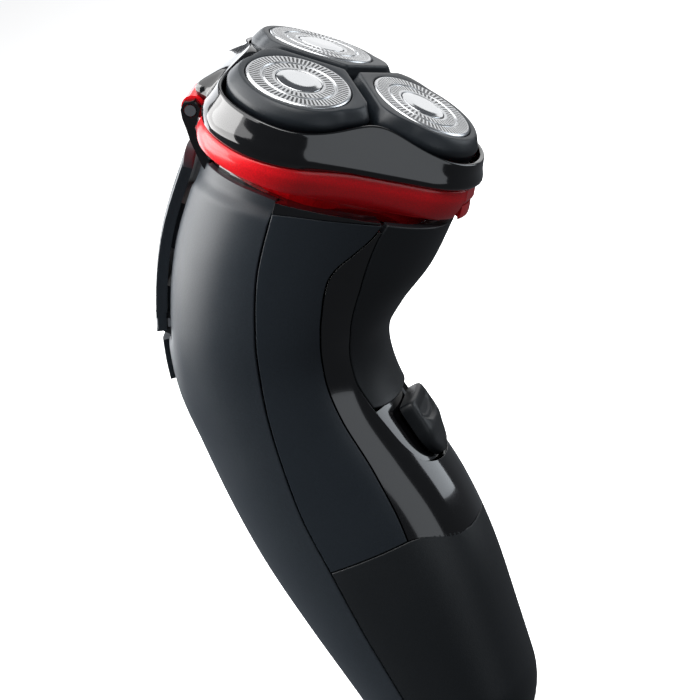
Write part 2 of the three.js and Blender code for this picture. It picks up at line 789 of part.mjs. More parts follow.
const screws = [["left", -1], ["right", 1]].map(([side, sign]) => [
  side,
  sign * screwReach * Math.cos(Math.PI / 6),
  -screwReach * Math.sin(Math.PI / 6),
]);
for (const [, x, y] of screws)
  seat = seat.subtract(inHead(rod(1.4, deckTop - 5, deckTop + 1, 10).translate(x, y, 0)));
seat = seat.intersect(slab(-40, 10));
add("head_seat", seat, "glossBlack");

for (const [side, x, y] of screws) {
  const screw = turned([
    [0, -6],
    [1.1, -6],
    [1.1, fitGap],
    [2.2, fitGap],
    [2.2, 1.5],
    [1.5, 1.9],
    [0, 1.9],
  ], 10);
  const mesh = add(`seat_screw_${side}`, screw, "steel", head);
  mesh.position.set(x, y, deckTop);
}
const pinHalf = hingeBarrelHalf + earWidth + 0.4;
const hingePin = crossRod(hingePinRadius, -pinHalf, pinHalf);
add("head_hinge_pin", hingePin, "steel", head).position.set(0, hingeBack, hingeLevel);

// ---------------------------------------------------------------- motor and gears
// A gear with straight-sided teeth, slim enough to leave backlash. The first tooth stands at the angle turn.
function gearShape(teeth, turn) {
  const pitch = (gearModule * teeth) / 2;
  const points = [];
  const widths = [[pitch - 1.1 * gearModule, 0.34], [pitch + 0.8 * gearModule, 0.1]];
  for (let k = 0; k < teeth; k++) {
    const middle = turn + (k * 2 * Math.PI) / teeth;
    for (const [radius, share] of widths)
      points.push([radius, middle - (share * 2 * Math.PI) / teeth]);
    for (const [radius, share] of [...widths].reverse())
      points.push([radius, middle + (share * 2 * Math.PI) / teeth]);
  }
  return points.map(([r, a]) => [r * Math.cos(a), r * Math.sin(a)]);
}
for (let k = 0; k < 3; k++) {
  const turn = around(k) + Math.PI; // a tooth of each gear points at the pinion
  const wheel = solid(
    extruded(gearShape(gearTeeth, turn), gearThickness),
    move(0, 0, gearTop - gearThickness),
  );
  const spindle = solid(rod(spindleRadius, gearTop - 1, spindleTip, 12));
  add(`spindle_gear_${k + 1}`, wheel.add(spindle), "whitePlastic", head).position.set(
    Math.cos(around(k)) * spindleReach,
    Math.sin(around(k)) * spindleReach,
    0,
  );
  const seal = turned([
    [spindleRadius + 0.3, 0],
    [spindleRadius + 2.2, 0],
    [spindleRadius + 2.2, 0.8],
    [spindleRadius + 0.3, 1.4],
    [spindleRadius + 0.3, 0],
  ], 12);
  add(`spindle_seal_${k + 1}`, seal, "rubber", head).position.set(
    Math.cos(around(k)) * spindleReach,
    Math.sin(around(k)) * spindleReach,
    deckTop + fitGap,
  );
}
const motorTop = gearTop - gearThickness - 1.9;
const halfTooth = Math.PI / pinionTeeth;
const pinion = solid(
  extruded(gearShape(pinionTeeth, around(0) + halfTooth), gearThickness),
  move(0, 0, gearTop - gearThickness),
).add(solid(rod(shaftRadius, motorTop + fitGap, gearTop - 1, 12)));
add("motor_pinion", pinion, "brass", head);
const plateBottom = motorTop + fitGap;
const gearPlate = inHead(rod(motorRadius + 9, plateBottom, plateBottom + 1, 28))
  .intersect(solid(skinSolid(0.75, 1, seatInset - 0.3, 6, 28)))
  .subtract(inHead(rod(shaftRadius + 1.2, plateBottom - 1, plateBottom + 3, 12)))
  .subtract(inHead(boxAt(-12, 12, bayFloorBack - 0.4, 60, -80, 0)));
add("gear_plate", gearPlate, "whitePlastic");
const can = turned([
  [0, -motorLength - 2],
  [3, -motorLength - 2],
  [3, -motorLength],
  [motorRadius - 1, -motorLength],
  [motorRadius, -motorLength + 1],
  [motorRadius, -1],
  [motorRadius - 1, 0],
  [0, 0],
], 20);
add("motor", can, "steel", head).position.set(0, 0, motorTop);

// ---------------------------------------------------------------- trimmer
const hinge = trimmerHinge;
const bayHalf = trimmerHalfWidth - 0.7;
const bayEar = 1.3;
const earRound = hinge.pin + pinClearance + 1;
const pinBack = hinge.back - 0.6;
const bayFloor = bayFloorBack + bayFloorThickness;
let bay = solid(boxAt(-bayHalf, bayHalf, bayFloorBack, bayFloor, hinge.level + 3.4, -33));
for (const sign of [-1, 1]) {
  const x0 = sign > 0 ? bayHalf - bayEar : -bayHalf;
  bay = bay
    .add(solid(boxAt(x0, x0 + bayEar, bayFloorBack, pinBack, hinge.level - earRound, hinge.level + 5)))
    .add(solid(crossRod(earRound, x0, x0 + bayEar), move(0, pinBack, hinge.level)));
}
bay = bay.subtract(solid(crossRod(hinge.pin + pinClearance, -30, 30), move(0, pinBack, hinge.level)));
add("trimmer_bay", bay, "mattBlack", head);
const trimmerPin = add("trimmer_hinge_pin", crossRod(hinge.pin, -bayHalf, bayHalf), "steel", head);
trimmerPin.position.set(0, pinBack, hinge.level);

const barrelHalf = bayHalf - bayEar - 0.4;
const doorSkin = solid(
  skinPatch({
    low: () => trimmerFoot + 0.004,
    high: (k) => trimmerHead - 0.012 * (2 * k - 1) ** 4,
    from: (t) => Math.PI - backAngle(t, trimmerHalfWidth),
    to: (t) => Math.PI + backAngle(t, trimmerHalfWidth),
    rows: 10,
    columns: 4,
    proud: trimmerProud,
    thickness: trimmerProud,
  }),
  toHead,
);
const barrel = solid(crossRod(hinge.barrel, -barrelHalf, barrelHalf, 24), move(0, pinBack, hinge.level));
const arm = solid(
  boxAt(-barrelHalf, barrelHalf, pinBack - 0.5, pinBack + 3.4, hinge.level + 0.6, hinge.level + 7),
);
const door = doorSkin
  .add(barrel.add(arm))
  .subtract(solid(crossRod(hinge.pin + pinClearance, -30, 30), move(0, pinBack, hinge.level)))
  .subtract(solid(crossRod(earRound + fitGap, -20, -barrelHalf), move(0, pinBack, hinge.level)))
  .subtract(solid(crossRod(earRound + fitGap, barrelHalf, 20), move(0, pinBack, hinge.level)))
  .subtract(solid(boxAt(-3, 3, bayFloorBack - 2, pinBack + 2.3, hinge.level - 4, hinge.level + 2.6)));
// A foot inside the door that carries the comb.
const combSeat = hinge.back + hinge.barrel + 0.4;
const carrier = solid(boxAt(-7.5, 7.5, combSeat, collarBack - 0.2, -46, -36));
add("trimmer_door", door.add(carrier), "softGrey", head);
const spring = turned([
  [hinge.pin + 0.3, -2.4],
  [hinge.pin + 1.1, -2.4],
  [hinge.pin + 1.1, 2.4],
  [hinge.pin + 0.3, 2.4],
  [hinge.pin + 0.3, -2.4],
], 12).rotateY(Math.PI / 2);
add("trimmer_spring", spring, "steel", head).position.set(0, pinBack, hinge.level);

function combShape(halfWidth, low, high, teeth, toothLength, share) {
  const pitch = (2 * halfWidth) / teeth;
  const points = [[-halfWidth, low], [halfWidth, low]];
  for (let k = teeth - 1; k >= 0; k--) {
    const middle = -halfWidth + (k + 0.5) * pitch;
    const half = (pitch * share) / 2;
    points.push([middle + half, high - toothLength], [middle + half * 0.6, high]);
    points.push([middle - half * 0.6, high], [middle - half, high - toothLength]);
  }
  return points;
}
const standing = (back) =>
  new THREE.Matrix4()
    .makeBasis(new THREE.Vector3(1, 0, 0), new THREE.Vector3(0, 0, 1), new THREE.Vector3(0, -1, 0))
    .setPosition(0, back, 0);
const combBack = combSeat - fitGap;
const comb = extruded(combShape(8.2, -44, -27.4, combTeeth, 2.4, 0.6), combThickness);
add("trimmer_comb", comb.applyMatrix4(standing(combBack)), "steel", head);
const blade = extruded(combShape(6.6, -38, -28, combTeeth - 1, 2, 0.6), combThickness);
add("trimmer_blade", blade.applyMatrix4(standing(combBack - combThickness - fitGap)), "steel", head);

add(
  "trimmer_button",
  skinPatch({
    low: () => buttonLow,
    high: () => buttonHigh,
    from: (t) => Math.PI - backAngle(t, buttonHalfWidth),
    to: (t) => Math.PI + backAngle(t, buttonHalfWidth),
    rows: 4,
    columns: 4,
    proud: buttonProud,
    thickness: buttonDepth,
  }),
  "softGrey",
);

// ---------------------------------------------------------------- head: frame and hair chamber
// Outline of the head at an angle from its centre: three lobes joined by straight sides,
// dented between lobes.
function headReach(angle, radius, dent = 0) {
  const third = (2 * Math.PI) / 3;
  const turn = angle - around(0);
  const off = Math.abs(turn - third * Math.round(turn / third));
  const tangent = Math.atan2(radius * Math.sin(Math.PI / 3), lobeRadius + radius / 2);
  const straight = (lobeRadius / 2 + radius) / Math.cos(off - Math.PI / 3);
  const arc = lobeRadius * Math.cos(off) + Math.sqrt(radius ** 2 - (lobeRadius * Math.sin(off)) ** 2);
  return (off < tangent ? arc : straight) - dent * valley(angle);
}
function valley(angle) {
  return ((1 - Math.cos(3 * (angle - around(0)))) / 2) ** 2;
}
const onCircle = (radius, angle) => [radius * Math.cos(angle), radius * Math.sin(angle)];
const polar = (angle, reach, z) => [Math.cos(angle) * reach, Math.sin(angle) * reach, z];
const turns = (count) => Array.from({ length: count }, (_, k) => (2 * Math.PI * k) / count);
// The frame's base and the chamber under it climb towards the front.
const baseLift = (angle) => baseRise * smooth((14 - 28 * Math.sin(angle)) / 26);
// Stacked outlines of the head as [level, radius, share of the base's climb].
const headStack = (levels, count = 36) =>
  stackSolid(
    levels.map(([z, radius, climb = 0]) =>
      turns(count).map((a) => polar(a, headReach(a, radius), z + climb * baseLift(a))),
    ),
  );

const frameLoops = turns(48).map((a) => {
  const lift = valleyRise * valley(a);
  const climb = baseLift(a);
  const [base, belly, shoulder, rim] = frameLevel;
  const [r0, r1, r2, r3] = frameRadius;
  const across = headReach(a, r1) * Math.cos(a);
  const fairing = a < Math.PI ? fairingReach * smooth((fairingHalf - Math.abs(across)) / 2.5) : 0;
  const outer = [
    polar(a, headReach(a, r0), base + climb),
    polar(a, headReach(a, r1) + fairing, belly + climb * 0.4 + fairing * 0.15),
    polar(a, headReach(a, r2, valleyDent * 0.4) + fairing * 0.6, shoulder + lift * 0.6),
    polar(a, headReach(a, r3, valleyDent), rim + lift),
  ];
  const inner = [
    polar(a, headReach(a, r3 - frameWall, valleyDent), rim + lift),
    polar(a, headReach(a, r2 - frameWall * 1.3, valleyDent * 0.4), shoulder + lift * 0.6),
    polar(a, headReach(a, r0 - frameWall * 1.3), base + climb),
  ];
  return [...outer, ...inner];
});
const hingeRoom = solid(
  crossRod(hingeBarrel + 0.15, -hingeBarrelHalf - 0.5, hingeBarrelHalf + 0.5, 20),
  move(0, hingeBack, hingeLevel),
);
add("head_frame", solid(ringSolid(frameLoops)).subtract(hingeRoom), "glossBlack", head);

const tabHalf = 6;
const tabFront = lobeRadius + 16.6;
const tabDeep = 3.4;
const tabTravel = 1.2;
// Everything above the lip, and what lies well inside the collar below it.
const tucked = (inset, lip) =>
  solid(skinSolid(0.86, 1.03, -inset, 4, 32), toHead).add(solid(boxAt(-60, 60, -60, 60, lip, 10)));
const atHinge = move(0, hingeBack, hingeLevel);
const notchBack = -tabFront + tabDeep + tabTravel + 0.4; // room for the tab and its travel
const notchTop = -14.9;
const chamberLevels = [[chamberBottom, 12.4], [-19.8, 13.8], [chamberLip, 15.2], [-15.8, 16.3, 0.7]];
const chamberOuter = solid(headStack([...chamberLevels, [chamberTop, 15.9, 1]]));
const chamberHollow = solid(
  headStack([
    [chamberBottom + 1.2, 12.4 - chamberWall],
    ...chamberLevels.slice(1).map(([z, r, climb = 0]) => [z, r - chamberWall, climb]),
    [chamberTop + 1, 15.9 - chamberWall, 1],
  ]),
).intersect(tucked(chamberTuck + chamberWall, chamberLip + chamberWall));
let chamber = chamberOuter
  .intersect(tucked(chamberTuck, chamberLip))
  .subtract(chamberHollow)
  .add(solid(crossRod(hingeBarrel, -hingeBarrelHalf, hingeBarrelHalf, 20), atHinge))
  .add(solid(boxAt(-hingeBarrelHalf, hingeBarrelHalf, hingeBack - 4.4, hingeBack, hingeLevel - 1.6, chamberTop)))
  .subtract(solid(crossRod(hingePinRadius + pinClearance, -30, 30), atHinge))
  .subtract(solid(boxAt(-tabHalf - 0.4, tabHalf + 0.4, -tabFront - 2, notchBack, -30, notchTop)));
for (let k = 0; k < 3; k++) {
  const [x, y] = [Math.cos(around(k)) * spindleReach, Math.sin(around(k)) * spindleReach];
  const spindleHole = rod(spindleRadius + 1.4, chamberBottom - 2, chamberBottom + 3, 12);
  chamber = chamber.subtract(solid(spindleHole, move(x, y, 0)));
}
add("hair_chamber", chamber, "clearRed", head);

const tabOutline = turns(48).map((a) => {
  const p = polar(a, headReach(a, 16.5), 0);
  return [p[0], p[1]];
});
const tab = solid(extruded(tabOutline, 3.2), move(0, 0, chamberLip + 0.1)).intersect(
  solid(boxAt(-tabHalf, tabHalf, -tabFront - 1, -tabFront + tabDeep, chamberLip, 0)),
);
add("release_tab", tab, "clearRed", head);

let plate = solid(headStack([[plateLevel, 13.4], [plateLevel + plateThickness, 13.4]]));
for (let k = 0; k < 3; k++) {
  const reach = lobeRadius + (plateLevel + plateThickness / 2) * Math.tan(lobeTilt);
  const [x, y] = [Math.cos(around(k)) * reach, Math.sin(around(k)) * reach];
  plate = plate.subtract(solid(rod(stemRadius + 0.9, plateLevel - 2, plateLevel + 4, 14), move(x, y, 0)));
}
add("retaining_plate", plate, "mattBlack", head);

// ---------------------------------------------------------------- head: petals, guards and cutters
// Outline of one petal about its cutter: an outer arc closed by two straight edges that meet
// at the head's centre.
function petalReach(angle, radius, inset) {
  const edge = lobeRadius * Math.sin(Math.PI / 3) - petalGroove / 2 - inset;
  const normal = (5 * Math.PI) / 6;
  const facing = Math.max(Math.cos(angle - normal), Math.cos(angle + normal));
  const side = Math.acos(Math.cos(angle)); // 0 outwards, pi towards the head's centre
  const round = radius + petalFlare * smooth((side - 1.5) / 0.5);
  const limit = side > normal ? Infinity : round;
  return facing > 0 ? Math.min(limit, edge / facing) : round;
}
const petalTurns = (() => {
  const edge = lobeRadius * Math.sin(Math.PI / 3) - petalGroove / 2;
  const swing = Math.acos(edge / (petalRadius + petalFlare));
  const corner = (5 * Math.PI) / 6 - swing;
  const all = [...turns(24), corner, 2 * Math.PI - corner];
  return all.sort((a, b) => a - b).filter((a, k, list) => k === 0 || a - list[k - 1] > 0.01);
})();
const petalLoops = petalTurns.map((a) => {
  const outer = petalReach(a, petalRadius, 0);
  const top = petalReach(a, petalRadius - petalShoulder, 0.3);
  const hole = guardRadius + 0.25;
  return [
    polar(a, outer - petalTaper, -petalSkirt),
    polar(a, outer, -petalEdge),
    polar(a, top, -petalTop),
    polar(a, hole, -petalTop),
    polar(a, hole, -petalEdge),
    polar(a, outer - 1.2, -petalEdge),
    polar(a, outer - petalTaper - 1, -petalSkirt),
  ];
});

for (let k = 0; k < 3; k++) {
  const lobe = new THREE.Group();
  lobe.rotation.z = around(k);
  head.add(lobe);
  const axis = new THREE.Group();
  axis.position.x = lobeRadius;
  axis.rotation.y = lobeTilt;
  lobe.add(axis);
  add(`petal_${k + 1}`, ringSolid(petalLoops), "softGrey", axis);
  const inside = guardRadius - 0.7;
  const guard = turned([
    [capRadius + 0.2, -guardThickness],
    [inside, -guardThickness],
    [inside, -guardSkirt],
    [guardRadius, -guardSkirt],
    [guardRadius, -0.4],
    [guardRadius - 0.6, 0],
    [capRadius + 0.2, 0],
    [capRadius + 0.2, -guardThickness],
  ], 24);
  add(`guard_${k + 1}`, guard, "steel", axis);
  const cap = turned([
    [0, -guardThickness],
    [capRadius, -guardThickness],
    [capRadius, 0.05],
    [capRadius - 1.4, 0.35],
    [0, 0.45],
  ], 16);
  add(`guard_cap_${k + 1}`, cap, "steel", axis);

  const blades = [];
  for (let i = 0; i < cutterBlades; i++)
    for (const [radius, lead] of [[6.6, 0.02], [cutterRadius, 0.14], [cutterRadius, 0.2], [6.6, 0.22]])
      blades.push(onCircle(radius, ((i + lead) * 2 * Math.PI) / cutterBlades));
  const cutterTop = -guardThickness - fitGap;
  const rotor = solid(extruded(blades, 1.5), move(0, 0, cutterTop - 1.5));
  const stem = turned(
    [
      [0, -stemLength + socketDepth],
      [socketRadius, -stemLength + socketDepth],
      [socketRadius, -stemLength],
      [stemRadius, -stemLength],
      [stemRadius, cutterTop - 1.2],
      [0, cutterTop - 1.2],
    ],
    12,
  );
  add(`cutter_${k + 1}`, rotor.add(solid(stem)), "steel", axis);
  const sleeve = [
    [stemRadius + 0.3, -8.6],
    [stemRadius + 0.3 + springWall, -8.6],
    [stemRadius + 0.3 + springWall, -3],
    [stemRadius + 0.3, -3],
    [stemRadius + 0.3, -8.6],
  ];
  add(`cutter_spring_${k + 1}`, turned(sleeve, 12), "steel", axis);
}

export default shaver;
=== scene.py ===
# %% [markdown]
# # A three-headed electric shaver
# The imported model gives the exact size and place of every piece. Most of the outside is one long skin, cut
# along seams into panels, so this lesson first writes that skin down as a function of two numbers. Each
# panel is then a finer grid on the same skin, given a wall and soft edges. The head's pieces are rings and
# turned shapes in their own tilted axes. Small inner pieces keep the model's shape and get a finish.

# %% Load the frame
import json
import math

import bmesh
import bpy
import numpy as np
from mathutils import Matrix, Vector


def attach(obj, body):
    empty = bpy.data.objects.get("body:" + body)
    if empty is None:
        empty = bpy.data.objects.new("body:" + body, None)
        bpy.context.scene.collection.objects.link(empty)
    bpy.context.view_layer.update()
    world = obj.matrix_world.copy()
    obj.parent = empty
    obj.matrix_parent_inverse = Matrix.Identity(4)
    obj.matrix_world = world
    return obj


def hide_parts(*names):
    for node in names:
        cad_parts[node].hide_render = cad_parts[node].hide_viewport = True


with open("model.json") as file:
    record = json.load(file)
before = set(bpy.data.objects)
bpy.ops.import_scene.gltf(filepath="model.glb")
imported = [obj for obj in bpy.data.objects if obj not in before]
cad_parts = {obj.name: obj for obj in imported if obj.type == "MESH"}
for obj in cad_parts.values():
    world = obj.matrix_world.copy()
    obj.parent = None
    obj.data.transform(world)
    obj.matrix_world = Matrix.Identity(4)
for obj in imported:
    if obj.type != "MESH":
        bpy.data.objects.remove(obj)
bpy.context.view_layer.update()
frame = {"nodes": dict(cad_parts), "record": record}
MM = 0.001

# %% [markdown]
# ## Camera, floor and light
# Small products are shot with a long lens so that near and far parts keep their proportions. Black plastic
# shows only what it mirrors, so the lights are large soft panels placed for the streaks they leave. A wide
# one on the left draws the shoulders, and one overhead fills. Weak ones each serve a single place: the gloss
# front, the steel caps, the neck, the handle's edge and the back.


# %% Camera
def vector(*v):
    """A numpy array from plain numbers."""
    return np.array(v, float)


LOOK = vector(-0.9512, -0.2520, 0.1779)  # from the head towards the camera
RIGHT = vector(0.1523, -0.8852, -0.4396)
UP = vector(0.2683, -0.3911, 0.8804)
HEAD = vector(0, -39.3, 144)
DISTANCE, FOCAL_LENGTH = 860, 215.8
AIM_RIGHT, AIM_DOWN = 0.0005, 0.0652  # how far the view's middle lies off the head, as slopes
camera = bpy.data.objects.new("camera", bpy.data.cameras.new("camera"))
bpy.context.scene.collection.objects.link(camera)
forward = -LOOK + AIM_RIGHT * RIGHT - AIM_DOWN * UP
forward /= np.linalg.norm(forward)
upward = UP - forward * np.dot(UP, forward)
upward /= np.linalg.norm(upward)
sideways = np.cross(forward, upward)
turn = Matrix([[sideways[i], upward[i], -forward[i]] for i in range(3)])
camera.matrix_world = Matrix.Translation(Vector((HEAD + DISTANCE * LOOK) * MM)) @ turn.to_4x4()
camera.data.lens = FOCAL_LENGTH
camera.data.sensor_width = 36
camera.data.clip_start, camera.data.clip_end = 0.05, 30
bpy.context.scene.camera = camera
print("camera stands", DISTANCE, "mm from the head, lens", camera.data.lens)


# %% Lights
def softbox(name, at, size, power, colour=(1, 1, 1), aim=(0, -20, 90)):
    """A rectangular panel at a place given in mm, turned to face the aim point."""
    light = bpy.data.lights.new(name, "AREA")
    light.shape = "RECTANGLE"
    light.size, light.size_y = size[0] * MM, size[1] * MM
    light.energy = power
    light.color = colour
    panel = bpy.data.objects.new(name, light)
    bpy.context.scene.collection.objects.link(panel)
    place, target = Vector(at) * MM, Vector(aim) * MM
    aimed = (target - place).to_track_quat("-Z", "Y").to_matrix().to_4x4()
    panel.matrix_world = Matrix.Translation(place) @ aimed
    panel.visible_camera = False
    return panel


def around_head(look, right, up):
    """A place measured from the head along the camera's own three directions, in mm."""
    return tuple(HEAD + look * LOOK + right * RIGHT + up * UP)


softbox("key_panel", around_head(-60, -800, 60), (1000, 760), 14, (1, 0.99, 0.98), (0, -20, 110))
softbox("front_panel", around_head(420, 60, 520), (420, 420), 2.5, aim=(0, -35, 130))
softbox("edge_panel", (210, -430, 70), (260, 240), 0.5, (0.88, 0.94, 1), (0, -20, 50))
softbox("cap_panel", (560, -150, 300), (440, 440), 0.62, aim=(0, -40, 140))
softbox("neck_panel", around_head(500, 620, -60), (420, 420), 0.6, (0.9, 0.95, 1), (0, -40, 110))
softbox("top_panel", (-60, 60, 640), (900, 900), 6.5, aim=(0, -20, 130))
softbox("back_panel", (420, 300, 240), (420, 420), 1.4, (0.95, 0.97, 1))

world = bpy.data.worlds.new("studio")
bpy.context.scene.world = world
world.use_nodes = True
world.node_tree.nodes["Background"].inputs["Color"].default_value = (0.82, 0.87, 0.95, 1)
world.node_tree.nodes["Background"].inputs["Strength"].default_value = 0.12
bpy.context.scene.view_settings.view_transform = "Standard"
bpy.context.scene.view_settings.look = "None"


# %% Materials' shared helpers
def new_material(name):
    """A material, its nodes, its links and its shader."""
    material = bpy.data.materials.new(name)
    material.use_nodes = True
    tree = material.node_tree
    return material, tree.nodes, tree.links, tree.nodes["Principled BSDF"]


# %% Floor
bpy.ops.mesh.primitive_plane_add(size=8, location=(0, 0, -0.0002))
floor = bpy.context.object
floor.name = "floor"
floor_finish, _, _, floor_shader = new_material("white_floor")
floor_shader.inputs["Base Color"].default_value = (0.86, 0.86, 0.86, 1)
floor_shader.inputs["Roughness"].default_value = 0.9
floor_shader.inputs["Emission Color"].default_value = (1, 1, 1, 1)
floor_shader.inputs["Emission Strength"].default_value = 0.72
floor.data.materials.append(floor_finish)
floor.visible_glossy = False
floor.visible_diffuse = False

# %% [markdown]
# ## The skin of the handle
# A real handle like this is drawn as a row of rounded sections strung along a bent spine. Each section has
# a back point, a front point, a half width, a squareness and an egg shape. A smooth curve through those
# seven numbers gives a section at any height, and an angle walks round it. Every panel uses this function.

# %% Sections
HANDLE, RISE, AHEAD = 91.0, 53.0, 39.3
TILT = math.radians(45.8)
SIN, COS = math.sin(TILT), math.cos(TILT)
GRIP, FOOT, COLLAR = 22.4, 18.0, 26.5
FOOT_ROUND, INSET_FRONT, INSET_BACK, INSET_SIDE = 13.0, 8.5, 5.3, 5.5


def level_section(back, back_rise, front, front_rise, half, egg):
    """A section whose end points rise by a share of the handle."""
    return [back, back_rise * HANDLE, front, front_rise * HANDLE, half, 2.3, egg]


def tilted_section(back, front, half, power, egg):
    """A section whose end points are given in the head's tilted axes."""
    place = lambda f, n: (-AHEAD - f * COS - n * SIN, HANDLE + RISE - f * SIN + n * COS)
    return [*place(*back), *place(*front), half, power, egg]


SECTIONS = np.array([
    level_section(15.2, 0, -16.6, 0, FOOT, 0.04),
    level_section(17.8, 0.22, -19.7, 0.22, (2 * FOOT + GRIP) / 3, 0.04),
    level_section(20.8, 0.44, -22.6, 0.44, (FOOT + 2 * GRIP) / 3, 0.05),
    level_section(22.8, 0.626, -23.0, 0.604, GRIP - 0.5, 0.05),
    level_section(23.3, 0.79, -21.5, 0.747, GRIP, 0.05),
    level_section(22.8, 0.956, -20.1, 0.89, GRIP + 0.4, 0.05),
    level_section(21.8, 1.11, -22.4, 1, GRIP + 1, 0.06),
    tilted_section((-18.4, -60.6), (26.8, -40.4), COLLAR - 1.9, 2.3, 0.09),
    tilted_section((-23.2, -42.5), (29.6, -30.6), COLLAR - 0.9, 2.25, 0.14),
    tilted_section((-24, -20), (30.6, -20), COLLAR, 2.2, 0.2),
])
SPANS = len(SECTIONS) - 1


def smooth_rows(rows, u):
    """Catmull-Rom curve through rows of numbers: each span is a cubic with slopes from its neighbours."""
    rows = np.asarray(rows, float)
    first, last = 2 * rows[0] - rows[1], 2 * rows[-1] - rows[-2]
    padded = np.vstack([first, rows, last])
    u = np.asarray(u, float)
    i = np.clip(np.floor(u), 0, len(rows) - 2).astype(int)
    x = (u - i)[..., None]
    p0, p1, p2, p3 = (padded[i + k] for k in range(4))
    square = 2 * p0 - 5 * p1 + 4 * p2 - p3
    cube = -p0 + 3 * p1 - 3 * p2 + p3
    return 0.5 * (2 * p1 + (p2 - p0) * x + square * x**2 + cube * x**3)


def skin(t, angle, offset=0.0):
    """Point of the skin: t goes 0 to 1 from foot to collar, and angle goes from the front (0) over -X to the
    back (pi). A section is a superellipse, x = -w sin^(2/p), with its middle line bent along the spine."""
    t, angle, offset = np.broadcast_arrays(np.asarray(t, float), angle, offset)
    back_y, back_z, front_y, front_z, half, power, egg = np.moveaxis(smooth_rows(SECTIONS, t * SPANS), -1, 0)
    tuck = 1 - np.sqrt(np.clip(1 - (1 - np.minimum(back_z / FOOT_ROUND, 1)) ** 2, 0, None))
    back_y = back_y - INSET_BACK * tuck
    front_y = front_y + INSET_FRONT * tuck
    depth = np.hypot(front_y - back_y, front_z - back_z) / 2
    grow = (depth + offset) / depth
    rounded = lambda v: np.sign(v) * np.abs(v) ** (2 / power)
    c, s = rounded(np.cos(angle)), rounded(np.sin(angle))
    width = half - INSET_SIDE * tuck + offset
    return np.stack([
        -width * s * (1 - egg * c),
        (back_y + front_y) / 2 + (front_y - back_y) / 2 * grow * c,
        (back_z + front_z) / 2 + (front_z - back_z) / 2 * grow * c,
    ], -1)


def at_height(z):
    """t of a height near the foot, where t grows evenly with height."""
    return z / (0.22 * HANDLE) / SPANS


def ease(x):
    """0 to 1 with no kink at either end: 3x^2 - 2x^3, held outside that range."""
    x = np.clip(x, 0, 1)
    return x * x * (3 - 2 * x)


print("grip is", round(2 * float(-skin(4 / SPANS, math.pi / 2)[0]), 1), "mm wide")


# %% [markdown]
# ## Seams
# Where two shells meet, a real moulding leaves a gap of a few tenths of a millimetre. Each seam here is a
# smooth curve through a few (t, angle) pairs, and both neighbours read it, so the gap stays even. A drawn
# line in the material would be simpler, but it would not catch the light as two rounded edges do.


# %% Seams
def seam(rows):
    """A seam is an angle that changes with t, drawn smoothly through the listed (t, angle) pairs."""
    rows = np.array(rows)

    def angle(t):
        """Angle of the seam at t."""
        t = np.asarray(t, float)
        i = np.clip(np.searchsorted(rows[:, 0], t, side="right") - 1, 0, len(rows) - 2)
        x = np.clip((t - rows[i, 0]) / (rows[i + 1, 0] - rows[i, 0]), 0, 1)
        return smooth_rows(rows[:, 1:], i + x)[..., 0]

    return angle


rear_seam = seam([(0, 1.86), (0.2, 1.85), (0.31, 1.8), (0.42, 1.755), (0.55, 1.645), (0.67, 1.59),
                  (0.79, 1.65), (0.89, 1.74), (1, 1.805)])
panel_seam = seam([(0.28, 1.14), (0.37, 1.065), (0.48, 1.02), (0.6, 1.04), (0.68, 1.07), (0.75, 1.15),
                   (0.82, 1.23), (0.88, 1.285), (0.91, 1.265), (0.94, 1.175), (0.97, 1.085), (1, 1.03)])
grip_seam = seam([(0.43, 0.5), (0.47, 0.57), (0.52, 0.61), (0.57, 0.67), (0.61, 0.72), (0.66, 0.75),
                  (0.72, 0.82), (0.8, 0.93), (0.87, 1.0), (0.92, 1.03), (0.97, 1.03), (1, 1.0)])
RECESS_TOP, RECESS_CORNER, RECESS_DROP = 0.535, 0.45, 0.054
RECESS_ANGLE = float(grip_seam(RECESS_CORNER))
SEAM = 0.3  # gap between panels
HALF_STEP = SEAM / 2 / (HANDLE + RISE + AHEAD)
FOOT_START = at_height(4.8)


def lower_edge(angle):
    """t of the seam round the lower cover: it climbs from the front to the sides."""
    return 0.276 + 0.038 * ease((np.abs(angle) - 0.3) / 0.85)


def collar_edge(angle):
    """t of the collar's free edge, which dips towards the back."""
    a = np.abs(angle)
    back = np.clip((a - 1.85) / (math.pi - 1.85), 0, None)
    return 1 - 0.01 * ease((a - 1.2) / 0.65) - 0.035 * back**1.3


def band_edge(angle):
    """t of the line under the collar's gloss band."""
    return 1 - 0.026 * np.clip((np.abs(angle) - 1) / 0.8, 0, None) ** 1.3


def recess_floor(across):
    """t of the switch recess's round lower end: half an ellipse."""
    return RECESS_CORNER - RECESS_DROP * np.sqrt(np.clip(1 - (2 * across - 1) ** 2, 0, None))


def recess_side(t):
    """Angle of the recess's side, which follows the grip's seam once it is wide enough."""
    return np.where(t < RECESS_CORNER, RECESS_ANGLE, grip_seam(t))


def half_gap(t):
    """Half a seam's width as an angle at t."""
    return SEAM / 2 / smooth_rows(SECTIONS, np.asarray(t) * SPANS)[..., 4]


def back_angle(t, x):
    """How far from the back, as an angle, the skin is x mm wide of the middle."""
    row = smooth_rows(SECTIONS, np.asarray(t) * SPANS)
    half, power, egg = row[..., 4], row[..., 5], row[..., 6]
    return np.arcsin(np.clip(x / (half * (1 + egg)), 0, 1) ** (power / 2))


# %% [markdown]
# ## Finishes
# Moulded plastic is never one flat colour. A spark-eroded mould leaves a fine grain, hands polish it unevenly,
# and dust greys it slightly. One node group makes that grain and is placed in every plastic with its own
# numbers. Steel has its own: long fine scratches that stretch the reflections.


